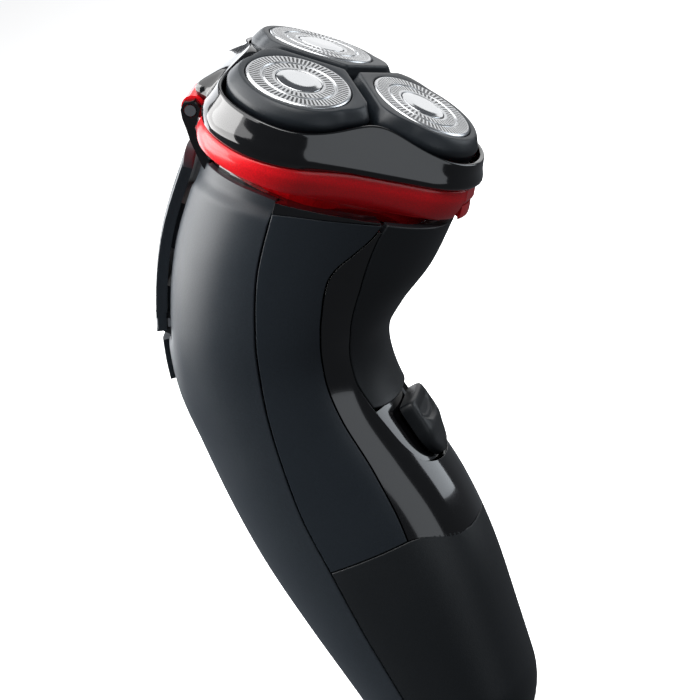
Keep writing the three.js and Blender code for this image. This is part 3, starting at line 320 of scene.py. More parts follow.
# %% Shared node groups
def node_group(name, inputs, outputs):
    """A shader group with named sockets, and its input and output nodes."""
    group = bpy.data.node_groups.new(name, "ShaderNodeTree")
    for label, kind, value in inputs:
        socket = group.interface.new_socket(label, in_out="INPUT", socket_type=kind)
        socket.default_value = value
    for label, kind in outputs:
        group.interface.new_socket(label, in_out="OUTPUT", socket_type=kind)
    return group, group.nodes.new("NodeGroupInput"), group.nodes.new("NodeGroupOutput")


def calculate(nodes, links, operation, *values):
    """A Math node. A value that is a socket is linked, and a number is set."""
    node = nodes.new("ShaderNodeMath")
    node.operation = operation
    for socket, value in zip(node.inputs, values):
        if isinstance(value, bpy.types.NodeSocket):
            links.new(value, socket)
        else:
            socket.default_value = value
    return node.outputs[0]


def remap(nodes, links, value, start, end, low=0.0, high=1.0):
    """A Map Range node: start becomes low and end becomes high, and it holds those outside the range."""
    node = nodes.new("ShaderNodeMapRange")
    for label, number in (("From Min", start), ("From Max", end), ("To Min", low), ("To Max", high)):
        node.inputs[label].default_value = number
    links.new(value, node.inputs["Value"])
    return node.outputs["Result"]


def noise(nodes, links, place, scale, detail):
    """Cloudy noise between about 0.3 and 0.7, read at a place."""
    node = nodes.new("ShaderNodeTexNoise")
    node.inputs["Scale"].default_value = scale
    node.inputs["Detail"].default_value = detail
    links.new(place, node.inputs["Vector"])
    return node.outputs["Fac"]


def raised(nodes, links, height, distance, strength=1.0):
    """A Bump node: the surface looks raised by the distance, in metres, where the height is 1."""
    bump = nodes.new("ShaderNodeBump")
    bump.inputs["Distance"].default_value = distance
    bump.inputs["Strength"].default_value = strength
    links.new(height, bump.inputs["Height"])
    return bump.outputs["Normal"]


def grain_group():
    """Moulded grain: fine noise raises the surface, and broad noise shifts colour and roughness a little."""
    group, given, made = node_group(
        "moulded_grain",
        [("Colour", "NodeSocketColor", (0.1, 0.1, 0.1, 1)), ("Roughness", "NodeSocketFloat", 0.5),
         ("Grain Scale", "NodeSocketFloat", 2500), ("Grain Depth", "NodeSocketFloat", 0.1),
         ("Handling", "NodeSocketFloat", 0.1)],
        [("Colour", "NodeSocketColor"), ("Roughness", "NodeSocketFloat"), ("Normal", "NodeSocketVector")],
    )
    nodes, links = group.nodes, group.links
    place = nodes.new("ShaderNodeTexCoord").outputs["Object"]
    fine = noise(nodes, links, place, 2500, 2)
    links.new(given.outputs["Grain Scale"], fine.node.inputs["Scale"])
    normal = raised(nodes, links, fine, 0.00006)
    links.new(given.outputs["Grain Depth"], normal.node.inputs["Strength"])
    broad = noise(nodes, links, place, 70, 4)
    uneven = calculate(nodes, links, "MULTIPLY", calculate(nodes, links, "SUBTRACT", broad, 0.5),
                       given.outputs["Handling"])
    rough = calculate(nodes, links, "ADD", uneven, given.outputs["Roughness"])
    rough.node.use_clamp = True
    tint = nodes.new("ShaderNodeVectorMath")
    tint.operation = "SCALE"
    links.new(given.outputs["Colour"], tint.inputs[0])
    links.new(remap(nodes, links, fine, 0.35, 0.7, 0.9, 1.14), tint.inputs["Scale"])
    links.new(tint.outputs["Vector"], made.inputs["Colour"])
    links.new(rough, made.inputs["Roughness"])
    links.new(normal, made.inputs["Normal"])
    return group


GRAIN = grain_group()


def plastic(name, colour, roughness, scale=2500, depth=0.1, handling=0.1, coat=0.0):
    """A moulded plastic: the grain group with this plastic's own numbers."""
    material, nodes, links, shader = new_material(name)
    grain = nodes.new("ShaderNodeGroup")
    grain.node_tree = GRAIN
    grain.inputs["Colour"].default_value = (*colour, 1)
    grain.inputs["Roughness"].default_value = roughness
    grain.inputs["Grain Scale"].default_value = scale
    grain.inputs["Grain Depth"].default_value = depth
    grain.inputs["Handling"].default_value = handling
    links.new(grain.outputs["Colour"], shader.inputs["Base Color"])
    links.new(grain.outputs["Roughness"], shader.inputs["Roughness"])
    links.new(grain.outputs["Normal"], shader.inputs["Normal"])
    shader.inputs["Coat Weight"].default_value = coat
    shader.inputs["Coat Roughness"].default_value = 0.04
    return material


def metal(name, colour, roughness, stretch=(1, 1, 1), scale=900, depth=0.15):
    """Metal with fine scratches: noise squeezed along one direction feeds the bump and the roughness."""
    material, nodes, links, shader = new_material(name)
    place = nodes.new("ShaderNodeTexCoord").outputs["Object"]
    squeeze = nodes.new("ShaderNodeMapping")
    squeeze.inputs["Scale"].default_value = stretch
    links.new(place, squeeze.inputs["Vector"])
    scratches = noise(nodes, links, squeeze.outputs["Vector"], scale, 3)
    spread = remap(nodes, links, scratches, 0, 1, roughness * 0.7, roughness * 1.3)
    links.new(spread, shader.inputs["Roughness"])
    links.new(raised(nodes, links, scratches, 0.00004, depth), shader.inputs["Normal"])
    shader.inputs["Base Color"].default_value = (*colour, 1)
    shader.inputs["Metallic"].default_value = 1
    return material


# %% Plain finishes
SOFT_GREY = plastic("soft_touch_grey", (0.020, 0.026, 0.033), 0.42, 3200, 0.35, 0.16)
SATIN_GREY = plastic("satin_grey", (0.014, 0.019, 0.025), 0.36, 3600, 0.25, 0.14)
GLOSS_BLACK = plastic("gloss_black", (0.0028, 0.003, 0.0036), 0.12, 400, 0.01, 0.06, coat=0.6)
MATT_BLACK = plastic("matt_black", (0.0065, 0.0085, 0.0105), 0.46, 3800, 0.35, 0.14)
PETAL_GREY = plastic("petal_grey", (0.008, 0.0115, 0.0155), 0.42, 4200, 0.25, 0.12)
CLEAR_RED = plastic("clear_red", (0.74, 0.004, 0.010), 0.3, 3000, 0.01, 0.02, coat=0.2)
WHITE_PLASTIC = plastic("white_plastic", (0.68, 0.68, 0.63), 0.42, 1800, 0.1, 0.12)
RUBBER = plastic("rubber", (0.006, 0.006, 0.007), 0.72, 2600, 0.3, 0.1)
CELL_WRAP = plastic("cell_wrap", (0.03, 0.23, 0.09), 0.3, 700, 0.08, 0.1, coat=0.3)
BOARD_GREEN = plastic("board_green", (0.012, 0.12, 0.05), 0.34, 900, 0.2, 0.2)
BRIGHT_STEEL = metal("bright_steel", (0.62, 0.63, 0.65), 0.2, (1, 1, 6))
BRASS = metal("brass", (0.64, 0.42, 0.12), 0.28)
FINISH = {
    "soft_touch_grey": SOFT_GREY, "satin_grey": SATIN_GREY, "gloss_black": GLOSS_BLACK,
    "matt_black": MATT_BLACK, "petal_grey": PETAL_GREY, "red_plastic": CLEAR_RED,
    "white_plastic": WHITE_PLASTIC, "rubber": RUBBER, "cell_wrap": CELL_WRAP, "board_green": BOARD_GREEN,
    "bright_steel": BRIGHT_STEEL, "brass": BRASS, "guard_steel": BRIGHT_STEEL,
}
print(len(FINISH), "finishes")

# %% [markdown]
# ## Making a piece
# A piece is a grid of points. Faces left out of the grid are openings. Solidify gives a panel its wall and
# Bevel rounds the edges that catch the light along every seam.


# %% Mesh helpers
def grid_faces(rows, columns, wrap=False, keep=None):
    """Quads between neighbouring rows and columns of a grid. keep is a mask of the cells that exist."""
    i, k = np.meshgrid(np.arange(rows - 1), np.arange(columns if wrap else columns - 1), indexing="ij")
    right = (k + 1) % columns
    this, above = i * columns, (i + 1) * columns
    quads = np.stack([this + k, this + right, above + right, above + k], -1)
    return quads[keep] if keep is not None else quads.reshape(-1, 4)


def piece(name, points, faces, body, slot, material=None, stands_for=(), outward=None):
    """A mesh from points in mm. outward is a place inside it that its faces are turned to point away from."""
    mesh = bpy.data.meshes.new(name)
    mesh.from_pydata((np.asarray(points).reshape(-1, 3) * MM).tolist(), [], np.asarray(faces).tolist())
    mesh.validate()
    tidy = bmesh.new()
    tidy.from_mesh(mesh)
    bmesh.ops.remove_doubles(tidy, verts=tidy.verts, dist=1e-7)
    bmesh.ops.recalc_face_normals(tidy, faces=tidy.faces)
    if outward is not None:
        face = max(tidy.faces, key=lambda f: f.calc_area())
        if face.normal.dot(face.calc_center_median() - Vector(outward) * MM) < 0:
            bmesh.ops.reverse_faces(tidy, faces=tidy.faces)
    tidy.to_mesh(mesh)
    tidy.free()
    mesh.polygons.foreach_set("use_smooth", np.ones(len(mesh.polygons), bool))
    thing = bpy.data.objects.new(name, mesh)
    bpy.context.scene.collection.objects.link(thing)
    mesh.materials.append(material or FINISH[slot])
    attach(thing, body)
    if stands_for:
        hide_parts(*stands_for)
    print(f"{name}: {len(mesh.polygons)} faces, rides {body}")
    return thing


SHELL_WALL = 2.0


def wall(thing, thickness, edge=0.25, segments=3):
    """Gives an open panel a wall inwards and rounds its edges."""
    solidify = thing.modifiers.new("wall", "SOLIDIFY")
    solidify.thickness = thickness * MM
    solidify.offset = -1
    solidify.use_even_offset = False
    soften(thing, edge, segments)


def soften(thing, edge=0.25, segments=3, angle=40):
    """Rounds every edge sharper than the angle."""
    bevel = thing.modifiers.new("edges", "BEVEL")
    bevel.width = edge * MM
    bevel.segments = segments
    bevel.limit_method = "ANGLE"
    bevel.angle_limit = math.radians(angle)
    bevel.harden_normals = True
    bevel.use_clamp_overlap = True


def steps(*spans):
    """Numbers from zone to zone: each span is (start, end, count), and neighbouring zones share their ends."""
    parts = [np.linspace(a, b, n + 1)[(0 if j == 0 else 1):] for j, (a, b, n) in enumerate(spans)]
    return np.concatenate(parts)


# %% [markdown]
# ## Rear shell
# The back half wraps round to a seam on each side. It has one opening, wide for the trimmer and narrower
# below for its release button. The columns of the grid are laid along the opening's own edges, so leaving
# cells out gives clean sides. Beside the trimmer the skin rolls down into a soft shoulder.

# %% Rear shell
DOOR_HALF, BUTTON_HALF, DOOR_GAP = 9.8, 6.5, 0.5
DOOR_LOW, DOOR_HIGH, BUTTON_LOW, BUTTON_HIGH = 0.757, 0.976, 0.67, 0.738
ROLL_DEPTH, ROLL_START, ROLL_WIDTH = 1.35, 14.2, 3.4  # the shoulder that falls towards the trimmer


def rear_grid():
    """Columns go seam, door edge, button edge, and mirrored; rows go foot, button, door, collar."""
    across = steps((0, 1, 16), (1, 2, 3), (2, 3, 8), (3, 4, 3), (4, 5, 16))
    along = steps((0, 1, 60), (1, 2, 12), (2, 3, 70))
    u, v = np.meshgrid(along, across, indexing="ij")
    low, mid, door = FOOT_START, BUTTON_LOW - 0.003, DOOR_LOW - 0.012
    fold = lambda a: np.where(a > math.pi, 2 * math.pi - a, a)
    guess = rear_seam(0.99) + (2 * math.pi - 2 * rear_seam(0.99)) * v / 5
    top = collar_edge(fold(guess))
    t = np.interp(u, [0, 1, 2], [low, mid, door])
    t = np.where(u > 2, door + (top - door) * (u - 2), t)
    first = rear_seam(t) + half_gap(t)
    d, b = back_angle(t, DOOR_HALF + DOOR_GAP), back_angle(t, BUTTON_HALF + DOOR_GAP)
    stops = [first, math.pi - d, math.pi - b, math.pi + b, math.pi + d, 2 * math.pi - first]
    angle = np.zeros_like(t)
    for j in range(5):
        inside = (v >= j) & (v <= j + 1)
        angle = np.where(inside, stops[j] + (stops[j + 1] - stops[j]) * (v - j), angle)
    x = np.abs(skin(t, angle)[..., 0])
    beside = ease((ROLL_START - x) / ROLL_WIDTH) * ease((t - 0.735) / 0.03)
    under = ease((t - (top - 0.03)) / 0.02)
    points = skin(t, angle, -ROLL_DEPTH * (1 - (1 - beside) * (1 - under)))
    cell_u = (along[:-1] + along[1:])[:, None] / 2
    cell_v = (across[:-1] + across[1:])[None, :] / 2
    button_hole = (cell_u > 1) & (cell_u < 2) & (cell_v > 2) & (cell_v < 3)
    door_hole = (cell_u > 2) & (cell_v > 1) & (cell_v < 4)
    return points, ~(button_hole | door_hole)


points, kept = rear_grid()
rear = piece("rear_shell_moulded", points, grid_faces(*points.shape[:2], keep=kept), "handle",
             "soft_touch_grey", stands_for=["rear_shell"], outward=(0, 0, 80))
wall(rear, SHELL_WALL, 0.3)


# %% [markdown]
# ## Side panels, fascia, grip and lower cover
# These are the other pieces of the same skin. The gloss fascia runs from the lower cover up the neck, split
# round the thumb grip and the switch, so its grid leaves out the middle above the switch's rounded end.


# %% Side panels
def band(low, high, first, last, rows, columns, offset=0.0):
    """A panel between two seams: t runs low to high for each column, and the angle between seams at that t."""
    u, v = np.meshgrid(np.linspace(0, 1, rows + 1), np.linspace(0, 1, columns + 1), indexing="ij")
    t = low(v) + (high(v) - low(v)) * u
    angle = first(t) + (last(t) - first(t)) * v
    return skin(t, angle, offset(u, v) if callable(offset) else offset)


for side, sign in (("left", 1), ("right", -1)):
    edge = lambda v: panel_seam(0.97) + (rear_seam(0.97) - panel_seam(0.97)) * v
    points = band(
        lambda v: lower_edge(2) + HALF_STEP + 0 * v,
        lambda v: band_edge(edge(v)) - HALF_STEP,
        lambda t: panel_seam(t) + half_gap(t),
        lambda t: rear_seam(t) - half_gap(t),
        110, 16,
    )
    points[..., 0] *= sign
    panel = piece(f"side_panel_{side}_moulded", points, grid_faces(*points.shape[:2]), "handle", "satin_grey",
                  stands_for=[f"side_panel_{side}"], outward=(0, 0, 80))
    wall(panel, SHELL_WALL, 0.22)
    points = band(
        lambda v: band_edge(edge(v)) + HALF_STEP,
        lambda v: np.maximum(collar_edge(edge(v)), band_edge(edge(v)) + 4 * HALF_STEP),
        lambda t: 1.06 + 0 * t,
        lambda t: rear_seam(t) - half_gap(t),
        8, 24, 0.06,
    )
    points[..., 0] *= sign
    collar = piece(f"collar_band_{side}", points, grid_faces(*points.shape[:2]), "handle", "gloss_black",
                   outward=(0, 0, 80))
    wall(collar, 0.8, 0.15)


# %% Fascia
def fascia_grid():
    """Columns go panel seam, grip edge, grip edge, panel seam; rows go lower cover, switch's end, top."""
    across = steps((0, 1, 12), (1, 2, 28), (2, 3, 12))
    along = steps((0, 1, 26), (1, 2, 90))
    u, v = np.meshgrid(along, across, indexing="ij")
    middle = np.clip(v - 1, 0, 1)
    floor_t = np.where((v > 1) & (v < 2), recess_floor(middle), RECESS_CORNER)
    low = lower_edge((2 * v / 3 - 1) * panel_seam(0.3)) + HALF_STEP
    t = np.where(u < 1, low + (floor_t - low) * u, floor_t + (0.985 - floor_t) * (u - 1))
    outer = panel_seam(t) - half_gap(t)
    grip = recess_side(t) + half_gap(t)
    angle = np.where(v < 1, outer + (grip - outer) * v,
                     np.where(v > 2, -grip + (grip - outer) * (v - 2), grip * (1 - 2 * middle)))
    cell_u = (along[:-1] + along[1:])[:, None] / 2
    cell_v = (across[:-1] + across[1:])[None, :] / 2
    return skin(t, angle), ~((cell_u > 1) & (cell_v > 1) & (cell_v < 2))


points, kept = fascia_grid()
fascia = piece("front_fascia_moulded", points, grid_faces(*points.shape[:2], keep=kept), "handle",
               "gloss_black", stands_for=["front_fascia"], outward=(0, 0, 70))
wall(fascia, SHELL_WALL, 0.2)

# %% Thumb grip and lower cover
points = band(
    lambda v: RECESS_TOP + HALF_STEP + 0.012 * (2 * v - 1) ** 4,
    lambda v: 1.0 + 0 * v,
    lambda t: grip_seam(t) - half_gap(t),
    lambda t: -grip_seam(t) + half_gap(t),
    100, 40,
)
grip = piece("thumb_grip_moulded", points, grid_faces(*points.shape[:2]), "handle", "matt_black",
             stands_for=["thumb_grip"], outward=(0, 0, 80))
wall(grip, SHELL_WALL, 0.35)
points = band(
    lambda v: FOOT_START + 0 * v,
    lambda v: lower_edge((2 * v - 1) * rear_seam(0.3)) - HALF_STEP,
    lambda t: rear_seam(t) - half_gap(t),
    lambda t: -rear_seam(t) + half_gap(t),
    60, 64,
)
lower = piece("lower_cover_moulded", points, grid_faces(*points.shape[:2]), "handle", "matt_black",
              stands_for=["lower_front_cover"], outward=(0, 0, 20))
wall(lower, SHELL_WALL, 0.22)

# %% [markdown]
# ## Switch
# The slide is a stubby block with a rounded foot that matches the end of its recess. Its face rises to a thumb
# rest with a curved groove across it. An arch-shaped section is carried up the handle to make it.

# %% Recess and slide
RECESS_DEPTH = 1.6
points = band(
    lambda v: recess_floor(v) + 2 * HALF_STEP,
    lambda v: RECESS_TOP - HALF_STEP + 0 * v,
    lambda t: recess_side(t) - 2 * half_gap(t),
    lambda t: -recess_side(t) + 2 * half_gap(t),
    40, 30, -RECESS_DEPTH,
)
recess = piece("switch_recess_moulded", points, grid_faces(*points.shape[:2]), "handle", "gloss_black",
               stands_for=["switch_recess"], outward=(0, 0, 70))
wall(recess, 1.4, 0.2)

SLIDE_HALF, SLIDE_TRAVEL, SLIDE_GAP, SLIDE_SINK = 7.2, 1.5, 0.45, 1.3
foot_point, top_point = skin(RECESS_CORNER - RECESS_DROP, 0), skin(RECESS_TOP, 0)
run = top_point - foot_point
SLIDE_LENGTH = float(np.linalg.norm(run)) - SLIDE_TRAVEL - 2 * SLIDE_GAP
up_handle = run / np.linalg.norm(run)
out_of_handle = np.cross(up_handle, vector(1, 0, 0))
out_of_handle *= -np.sign(out_of_handle[1])


def slide_points():
    """Sections are arches x = w cos^(2/5), out = p sin^(2/5). The width w follows a rounded foot, the height p
    rises to the thumb rest, and a groove shaped like a smile is pressed into the face."""
    up = np.concatenate([np.linspace(0.02, 1.5, 12), np.linspace(1.7, SLIDE_LENGTH - 0.9, 60),
                         SLIDE_LENGTH - np.array([0.6, 0.35, 0.16, 0.05, 0, 0])])
    proud = smooth_rows(np.array([[0.1], [0.95], [1.5], [2.2], [2.25], [1.95]]), np.interp(
        up, [0, 1.5, 4.4, 7.0, SLIDE_LENGTH - 2.2, SLIDE_LENGTH], [0, 1, 2, 3, 4, 5]))[..., 0]
    proud[-6:] = proud[-7] - np.array([0.03, 0.14, 0.36, 0.7, 1.2, proud[-7] + SLIDE_SINK])
    foot = SLIDE_HALF * 1.05
    half = SLIDE_HALF * np.sqrt(1 - (1 - np.minimum(up / foot, 1)) ** 2)
    corner = np.clip((up - (SLIDE_LENGTH - 1.6)) / 1.6, 0, 1)
    half = half - 0.9 * (1 - np.sqrt(1 - corner**2))
    walk = np.linspace(0, math.pi, 65)[None]
    bend = lambda v: np.sign(v) * np.abs(v) ** 0.4
    x = half[:, None] * bend(np.cos(walk))
    out = -SLIDE_SINK + (proud[:, None] + SLIDE_SINK) * bend(np.sin(walk))
    middle = 8.0 + 2.4 * (x / 6) ** 2
    groove = np.exp(-(((up[:, None] - middle) / 0.55) ** 2)) * ease((6.3 - np.abs(x)) / 0.9)
    dish = 0.9 * ease((up[:, None] - middle) / 1.2) * ease((SLIDE_LENGTH - 0.6 - up[:, None]) / 2.6)
    dish = dish * ease((6.2 - np.abs(x)) / 2.0)
    top = np.sin(walk) > 0.6
    out = out - np.where(top, 0.75 * groove + dish, 0)
    along = (up[:, None, None] + SLIDE_GAP) * up_handle
    return foot_point + x[..., None] * vector(1, 0, 0) + out[..., None] * out_of_handle + along


points = slide_points()
piece("switch_slide_moulded", points, grid_faces(*points.shape[:2]), "switch", "matt_black",
      stands_for=["switch_slider"], outward=(0, 0, 72))
print("switch slide is", round(SLIDE_LENGTH, 1), "mm long")

# %% [markdown]
# ## Trimmer door and button
# The door is a long tongue that stands proud of the back, with finger ribs near its tip. The button below it
# has ribs too. Both follow the skin, so they are bands of it with a crown and a wave added to the offset.


# %% Door cover and button
def tongue(low, high, half, proud, rows, columns, ribs):
    """A band round the back, half mm wide of the middle, with its edges rolled down and ribs across it."""
    u, v = np.meshgrid(np.linspace(0, 1, rows + 1), np.linspace(-1, 1, columns + 1), indexing="ij")
    t = low + (high(v) - low) * u
    angle = math.pi + v * back_angle(t, half)
    start, end, count, height = ribs
    share = np.clip((u - start) / (end - start), 0, 1)
    wave = (0.5 - 0.5 * np.cos(2 * math.pi * count * share)) * ease((0.86 - np.abs(v)) / 0.12)
    roll = 0.35 * np.abs(v) ** 6
    return skin(t, angle, proud - roll - height * wave)


door_top = lambda v: DOOR_HIGH + 0.0006 - 0.012 * v**4
points = tongue(DOOR_LOW + 0.0036, door_top, DOOR_HALF + 0.07, 2.36, 150, 40, (0.80, 0.93, 5, 0.34))
door = piece("trimmer_door_cover", points, grid_faces(*points.shape[:2]), "trimmer", "soft_touch_grey",
             outward=(0, 0, 120))
wall(door, 1.9, 0.3)
points = tongue(BUTTON_LOW, lambda v: BUTTON_HIGH + 0 * v, BUTTON_HALF, 1.5, 80, 30, (0.2, 0.85, 5, 0.3))
button = piece("trimmer_button_moulded", points, grid_faces(*points.shape[:2]), "trimmer_button",
               "soft_touch_grey", stands_for=["trimmer_button"], outward=(0, 0, 100))
wall(button, 2.8, 0.4)

# %% [markdown]
# ## Foot cap
# The cap closes the handle at the foot and holds the power inlet. Its own solid keeps the opening, so only
# its outer side is made again, as a thin smooth band lying on it.

# %% Foot cap's side
u, v = np.meshgrid(np.linspace(0, 1, 14), np.linspace(0, 2 * math.pi, 160, endpoint=False), indexing="ij")
points = skin(0.0006 + (at_height(4.5) - 0.0006) * u, v, 0.05)
piece("foot_cap_skin", points, grid_faces(14, 160, wrap=True), "handle", "matt_black", outward=(0, 0, 2))

# %% [markdown]
# ## The head's own axes
# The head is tilted, so its pieces are worked out lying flat, level 0 at the guards, and then turned and moved
# into place. Three lobes stand round the centre, and each cutter unit leans outwards a little from its lobe.

# %% From the head's axes to the part's
LOBE, LEAN = 16.45, math.radians(8)


def from_head(points):
    """Turns points about X by the head's tilt and moves them to the head's centre."""
    x, y, z = np.moveaxis(np.asarray(points, float), -1, 0)
    return np.stack([x, -AHEAD + y * COS - z * SIN, HANDLE + RISE + y * SIN + z * COS], -1)


def around(k):
    """Direction of lobe k from the head's centre."""
    return -math.pi / 2 + k * 2 * math.pi / 3


def from_lobe(points, k):
    """Leans points outwards, moves them to a lobe's centre, turns them to lobe k, then tilts the head."""
    x, y, z = np.moveaxis(np.asarray(points, float), -1, 0)
    x, z = x * math.cos(LEAN) + z * math.sin(LEAN) + LOBE, -x * math.sin(LEAN) + z * math.cos(LEAN)
    c, s = math.cos(around(k)), math.sin(around(k))
    return from_head(np.stack([x * c - y * s, x * s + y * c, z], -1))


def valley(angle):
    """1 halfway between two lobes and 0 on a lobe."""
    return ((1 - np.cos(3 * (angle - around(0)))) / 2) ** 2


def head_reach(angle, radius, dent=0.0):
    """Outline of three circles joined by straight sides, pressed in between the lobes."""
    third = 2 * math.pi / 3
    turn = angle - around(0)
    off = np.abs(turn - third * np.round(turn / third))
    tangent = math.atan2(radius * math.sin(math.pi / 3), LOBE + radius / 2)
    straight = (LOBE / 2 + radius) / np.cos(off - math.pi / 3)
    arc = LOBE * np.cos(off) + np.sqrt(np.maximum(radius**2 - (LOBE * np.sin(off)) ** 2, 0))
    return np.where(off < tangent, arc, straight) - dent * valley(angle)


def polar(angle, reach, z):
    """Points from an angle, a distance from the axis and a level."""
    return np.stack(np.broadcast_arrays(np.cos(angle) * reach, np.sin(angle) * reach, z), -1)


def base_lift(angle):
    """How much the frame's base climbs: nothing at the back, all of it at the front."""
    return 2.4 * ease((14 - 28 * np.sin(angle)) / 26)


def flowing(rows, count):
    """Resamples a short list of profile points into a smooth curve of that many points."""
    return smooth_rows(np.array(rows, float), np.linspace(0, len(rows) - 1, count))


# %% [markdown]
# ## Head frame and hair chamber
# The gloss frame is a ring whose outline swells from the rim to a belly and draws in again at its foot. The
# rim rises between lobes. The red chamber below climbs towards the front, and tucks into the collar.

# %% Head frame
FRAME_LEVEL, FRAME_RADIUS = (-13.9, -11.4, -8.4, -6.1), (16.0, 16.8, 16.1, 15.6)
VALLEY_RISE, VALLEY_DENT = 4.2, 2.7  # the rim between lobes
FAIRING_REACH, FAIRING_HALF = 3.2, 10.9  # the hump over the hinge


def frame_ring():
    """For each angle, a profile of (reach, level) runs up the outside, over the rim and down the inside."""
    angle = np.linspace(0, 2 * math.pi, 240, endpoint=False)
    lift, climb = VALLEY_RISE * valley(angle), base_lift(angle)
    across = head_reach(angle, FRAME_RADIUS[1]) * np.cos(angle)
    fairing = np.where(angle < math.pi, FAIRING_REACH * ease((FAIRING_HALF - np.abs(across)) / 2.5), 0)
    (base, belly, shoulder, rim), (r0, r1, r2, r3) = FRAME_LEVEL, FRAME_RADIUS
    out = [
        (head_reach(angle, r0), base + climb),
        (head_reach(angle, r1) + fairing, belly + climb * 0.4 + fairing * 0.15),
        (head_reach(angle, r2, VALLEY_DENT * 0.4) + fairing * 0.6, shoulder + lift * 0.6),
        (head_reach(angle, r3, VALLEY_DENT), rim + lift),
    ]
    rows = np.array([np.stack(np.broadcast_arrays(*o), -1).ravel() for o in out])
    outer = smooth_rows(rows, np.linspace(0, 3, 16)).reshape(16, -1, 2)
    inset = np.linspace(1.05, 1.0, 16)[:, None] + fairing * 0.9
    inner = outer[::-1] - np.stack([inset, 0 * inset], -1)
    over = [outer[-1] + vector(-inwards, up) for inwards, up in ((0.12, 0.16), (0.5, 0.26), (0.88, 0.16))]
    profile = np.concatenate([outer, over, inner])
    return from_head(polar(angle[None], profile[..., 0], profile[..., 1])).transpose(1, 0, 2)


points = frame_ring()
rows, columns = points.shape[:2]
closed = np.concatenate([points, points[:1]])
piece("head_frame_moulded", closed, grid_faces(rows + 1, columns, wrap=True), "head", "gloss_black",
      stands_for=["head_frame"])


# %% Red chamber's outside
def chamber_ring():
    """The outside of the chamber: lip, belly and top edge as one smooth profile, turned in at each end."""
    angle = np.linspace(0, 2 * math.pi, 240, endpoint=False)
    climb = base_lift(angle)
    stations = [(13.6, -18.56, 0), (14.6, -18.62, 0), (15.25, -18.4, 0.05), (15.9, -17.4, 0.3),
                (16.34, -15.9, 0.7), (16.2, -14.8, 0.9), (15.96, -14.2, 1.0), (15.6, -14.02, 1.0),
                (14.8, -14.0, 1.0)]
    rings = [np.stack([head_reach(angle, r), z + k * climb], -1).ravel() for r, z, k in stations]
    profile = smooth_rows(np.array(rings), np.linspace(0, len(rings) - 1, 34)).reshape(34, -1, 2)
    return from_head(polar(angle[None], profile[..., 0] + 0.03, profile[..., 1])), angle


points, angle = chamber_ring()
cells = np.ones((points.shape[0] - 1, points.shape[1]), bool)
middle = angle + math.pi / 240
tab_gap = np.abs(head_reach(middle, 16) * np.cos(middle)) < 6.3
cells[:, tab_gap & (middle > math.pi)] = False
piece("chamber_skin", points, grid_faces(*points.shape[:2], wrap=True, keep=cells), "head", "red_plastic",
      outward=tuple(from_head([0, 0, -16])))


# %% [markdown]
# ## Release tab
# A thumb pushes this lip to open the head. It could be part of the red chamber, but it moves on its own, so
# it is its own piece: a short profile carried sideways along the head's outline.

# %% Release tab
TAB_HALF = 5.9


def tab_grid():
    """A lip across the front: its face follows the head's outline, pulled out in the middle, scooped below."""
    v = np.broadcast_to(np.linspace(-1, 1, 33), (19, 33))
    x = TAB_HALF * v
    angle = -math.pi / 2 + x / 33
    profile = flowing([(0.0, 0.0), (0.34, 0.12), (0.5, 0.5), (0.4, 1.5), (0.15, 2.6), (0.0, 3.0)], 19)
    face = head_reach(angle, 16.0) + (profile[:, :1] - 0.1) * (1 - 0.3 * v**4)
    level = profile[:, 1:] - 18.3 + 0 * v
    return from_head(np.stack([x, -face * np.cos(angle + math.pi / 2), level], -1))


points = tab_grid()
tab = piece("release_tab_moulded", points, grid_faces(*points.shape[:2]), "release_tab", "red_plastic",
            stands_for=["release_tab"], outward=tuple(from_head([0, 0, -16])))
wall(tab, 1.8, 0.4)


# %% [markdown]
# ## Petals, guards and caps
# Each petal carries one round steel guard. Its outline is an arc outside and two straight edges that meet at
# the head's centre. The guard's slots are too many to model, so the material paints them in, near black as
# painted shade for their depth: a UV map gives each point its angle and its radius, and two rings of slots
# come from a repeating wave along the angle.

# %% Petals
PETAL, SHOULDER, GROOVE, FLARE, GUARD = 14.2, 1.7, 2.2, 1.9, 11.0
SEAT_GAP = 0.22  # round the guard


def petal_reach(angle, radius, inset):
    """An arc that flares towards the inner corners, cut by the two straight inner edges."""
    edge = LOBE * math.sin(math.pi / 3) - GROOVE / 2 - inset
    normal = 5 * math.pi / 6
    facing = np.maximum(np.cos(angle - normal), np.cos(angle + normal))
    side = np.arccos(np.cos(angle))
    arc = radius + FLARE * ease((side - 1.5) / 0.5)
    limit = np.where(side > normal, 1e6, arc)
    return np.where(facing > 0, np.minimum(limit, edge / np.where(facing > 0, facing, 1)), arc)


def softened(reach, rounds):
    """Rounds an outline's corners: each point becomes the mean of itself, twice, and its two neighbours."""
    for _ in range(rounds):
        reach = (np.roll(reach, 1) + 2 * reach + np.roll(reach, -1)) / 4
    return reach


def petal_ring():
    """Rings of an outline: full size at the skirt, smaller at the flat top, then down the guard's seat."""
    angle = np.linspace(0, 2 * math.pi, 360, endpoint=False)
    full = softened(petal_reach(angle, PETAL, 0), 6)
    flat = softened(petal_reach(angle, PETAL - SHOULDER, 0.45), 6)
    stations = [(full - 0.5, -7.5), (full - 0.1, -3.5), (full, -2.9), (full * 0.75 + flat * 0.25, -2.1),
                (full * 0.35 + flat * 0.65, -1.0), (flat + 0.12, -0.48), (flat - 0.1, -0.31),
                (flat - 0.5, -0.28)]
    seat = 0 * angle + GUARD + SEAT_GAP
    stations += [(seat + 0.25, -0.28), (seat + 0.06, -0.34), (seat, -0.6), (seat, -3.0), (full - 1.4, -3.0),
                 (full - 1.5, -7.5)]
    reach = np.array([r for r, _ in stations])
    level = np.array([z for _, z in stations])[:, None]
    return polar(angle[None], reach, level)


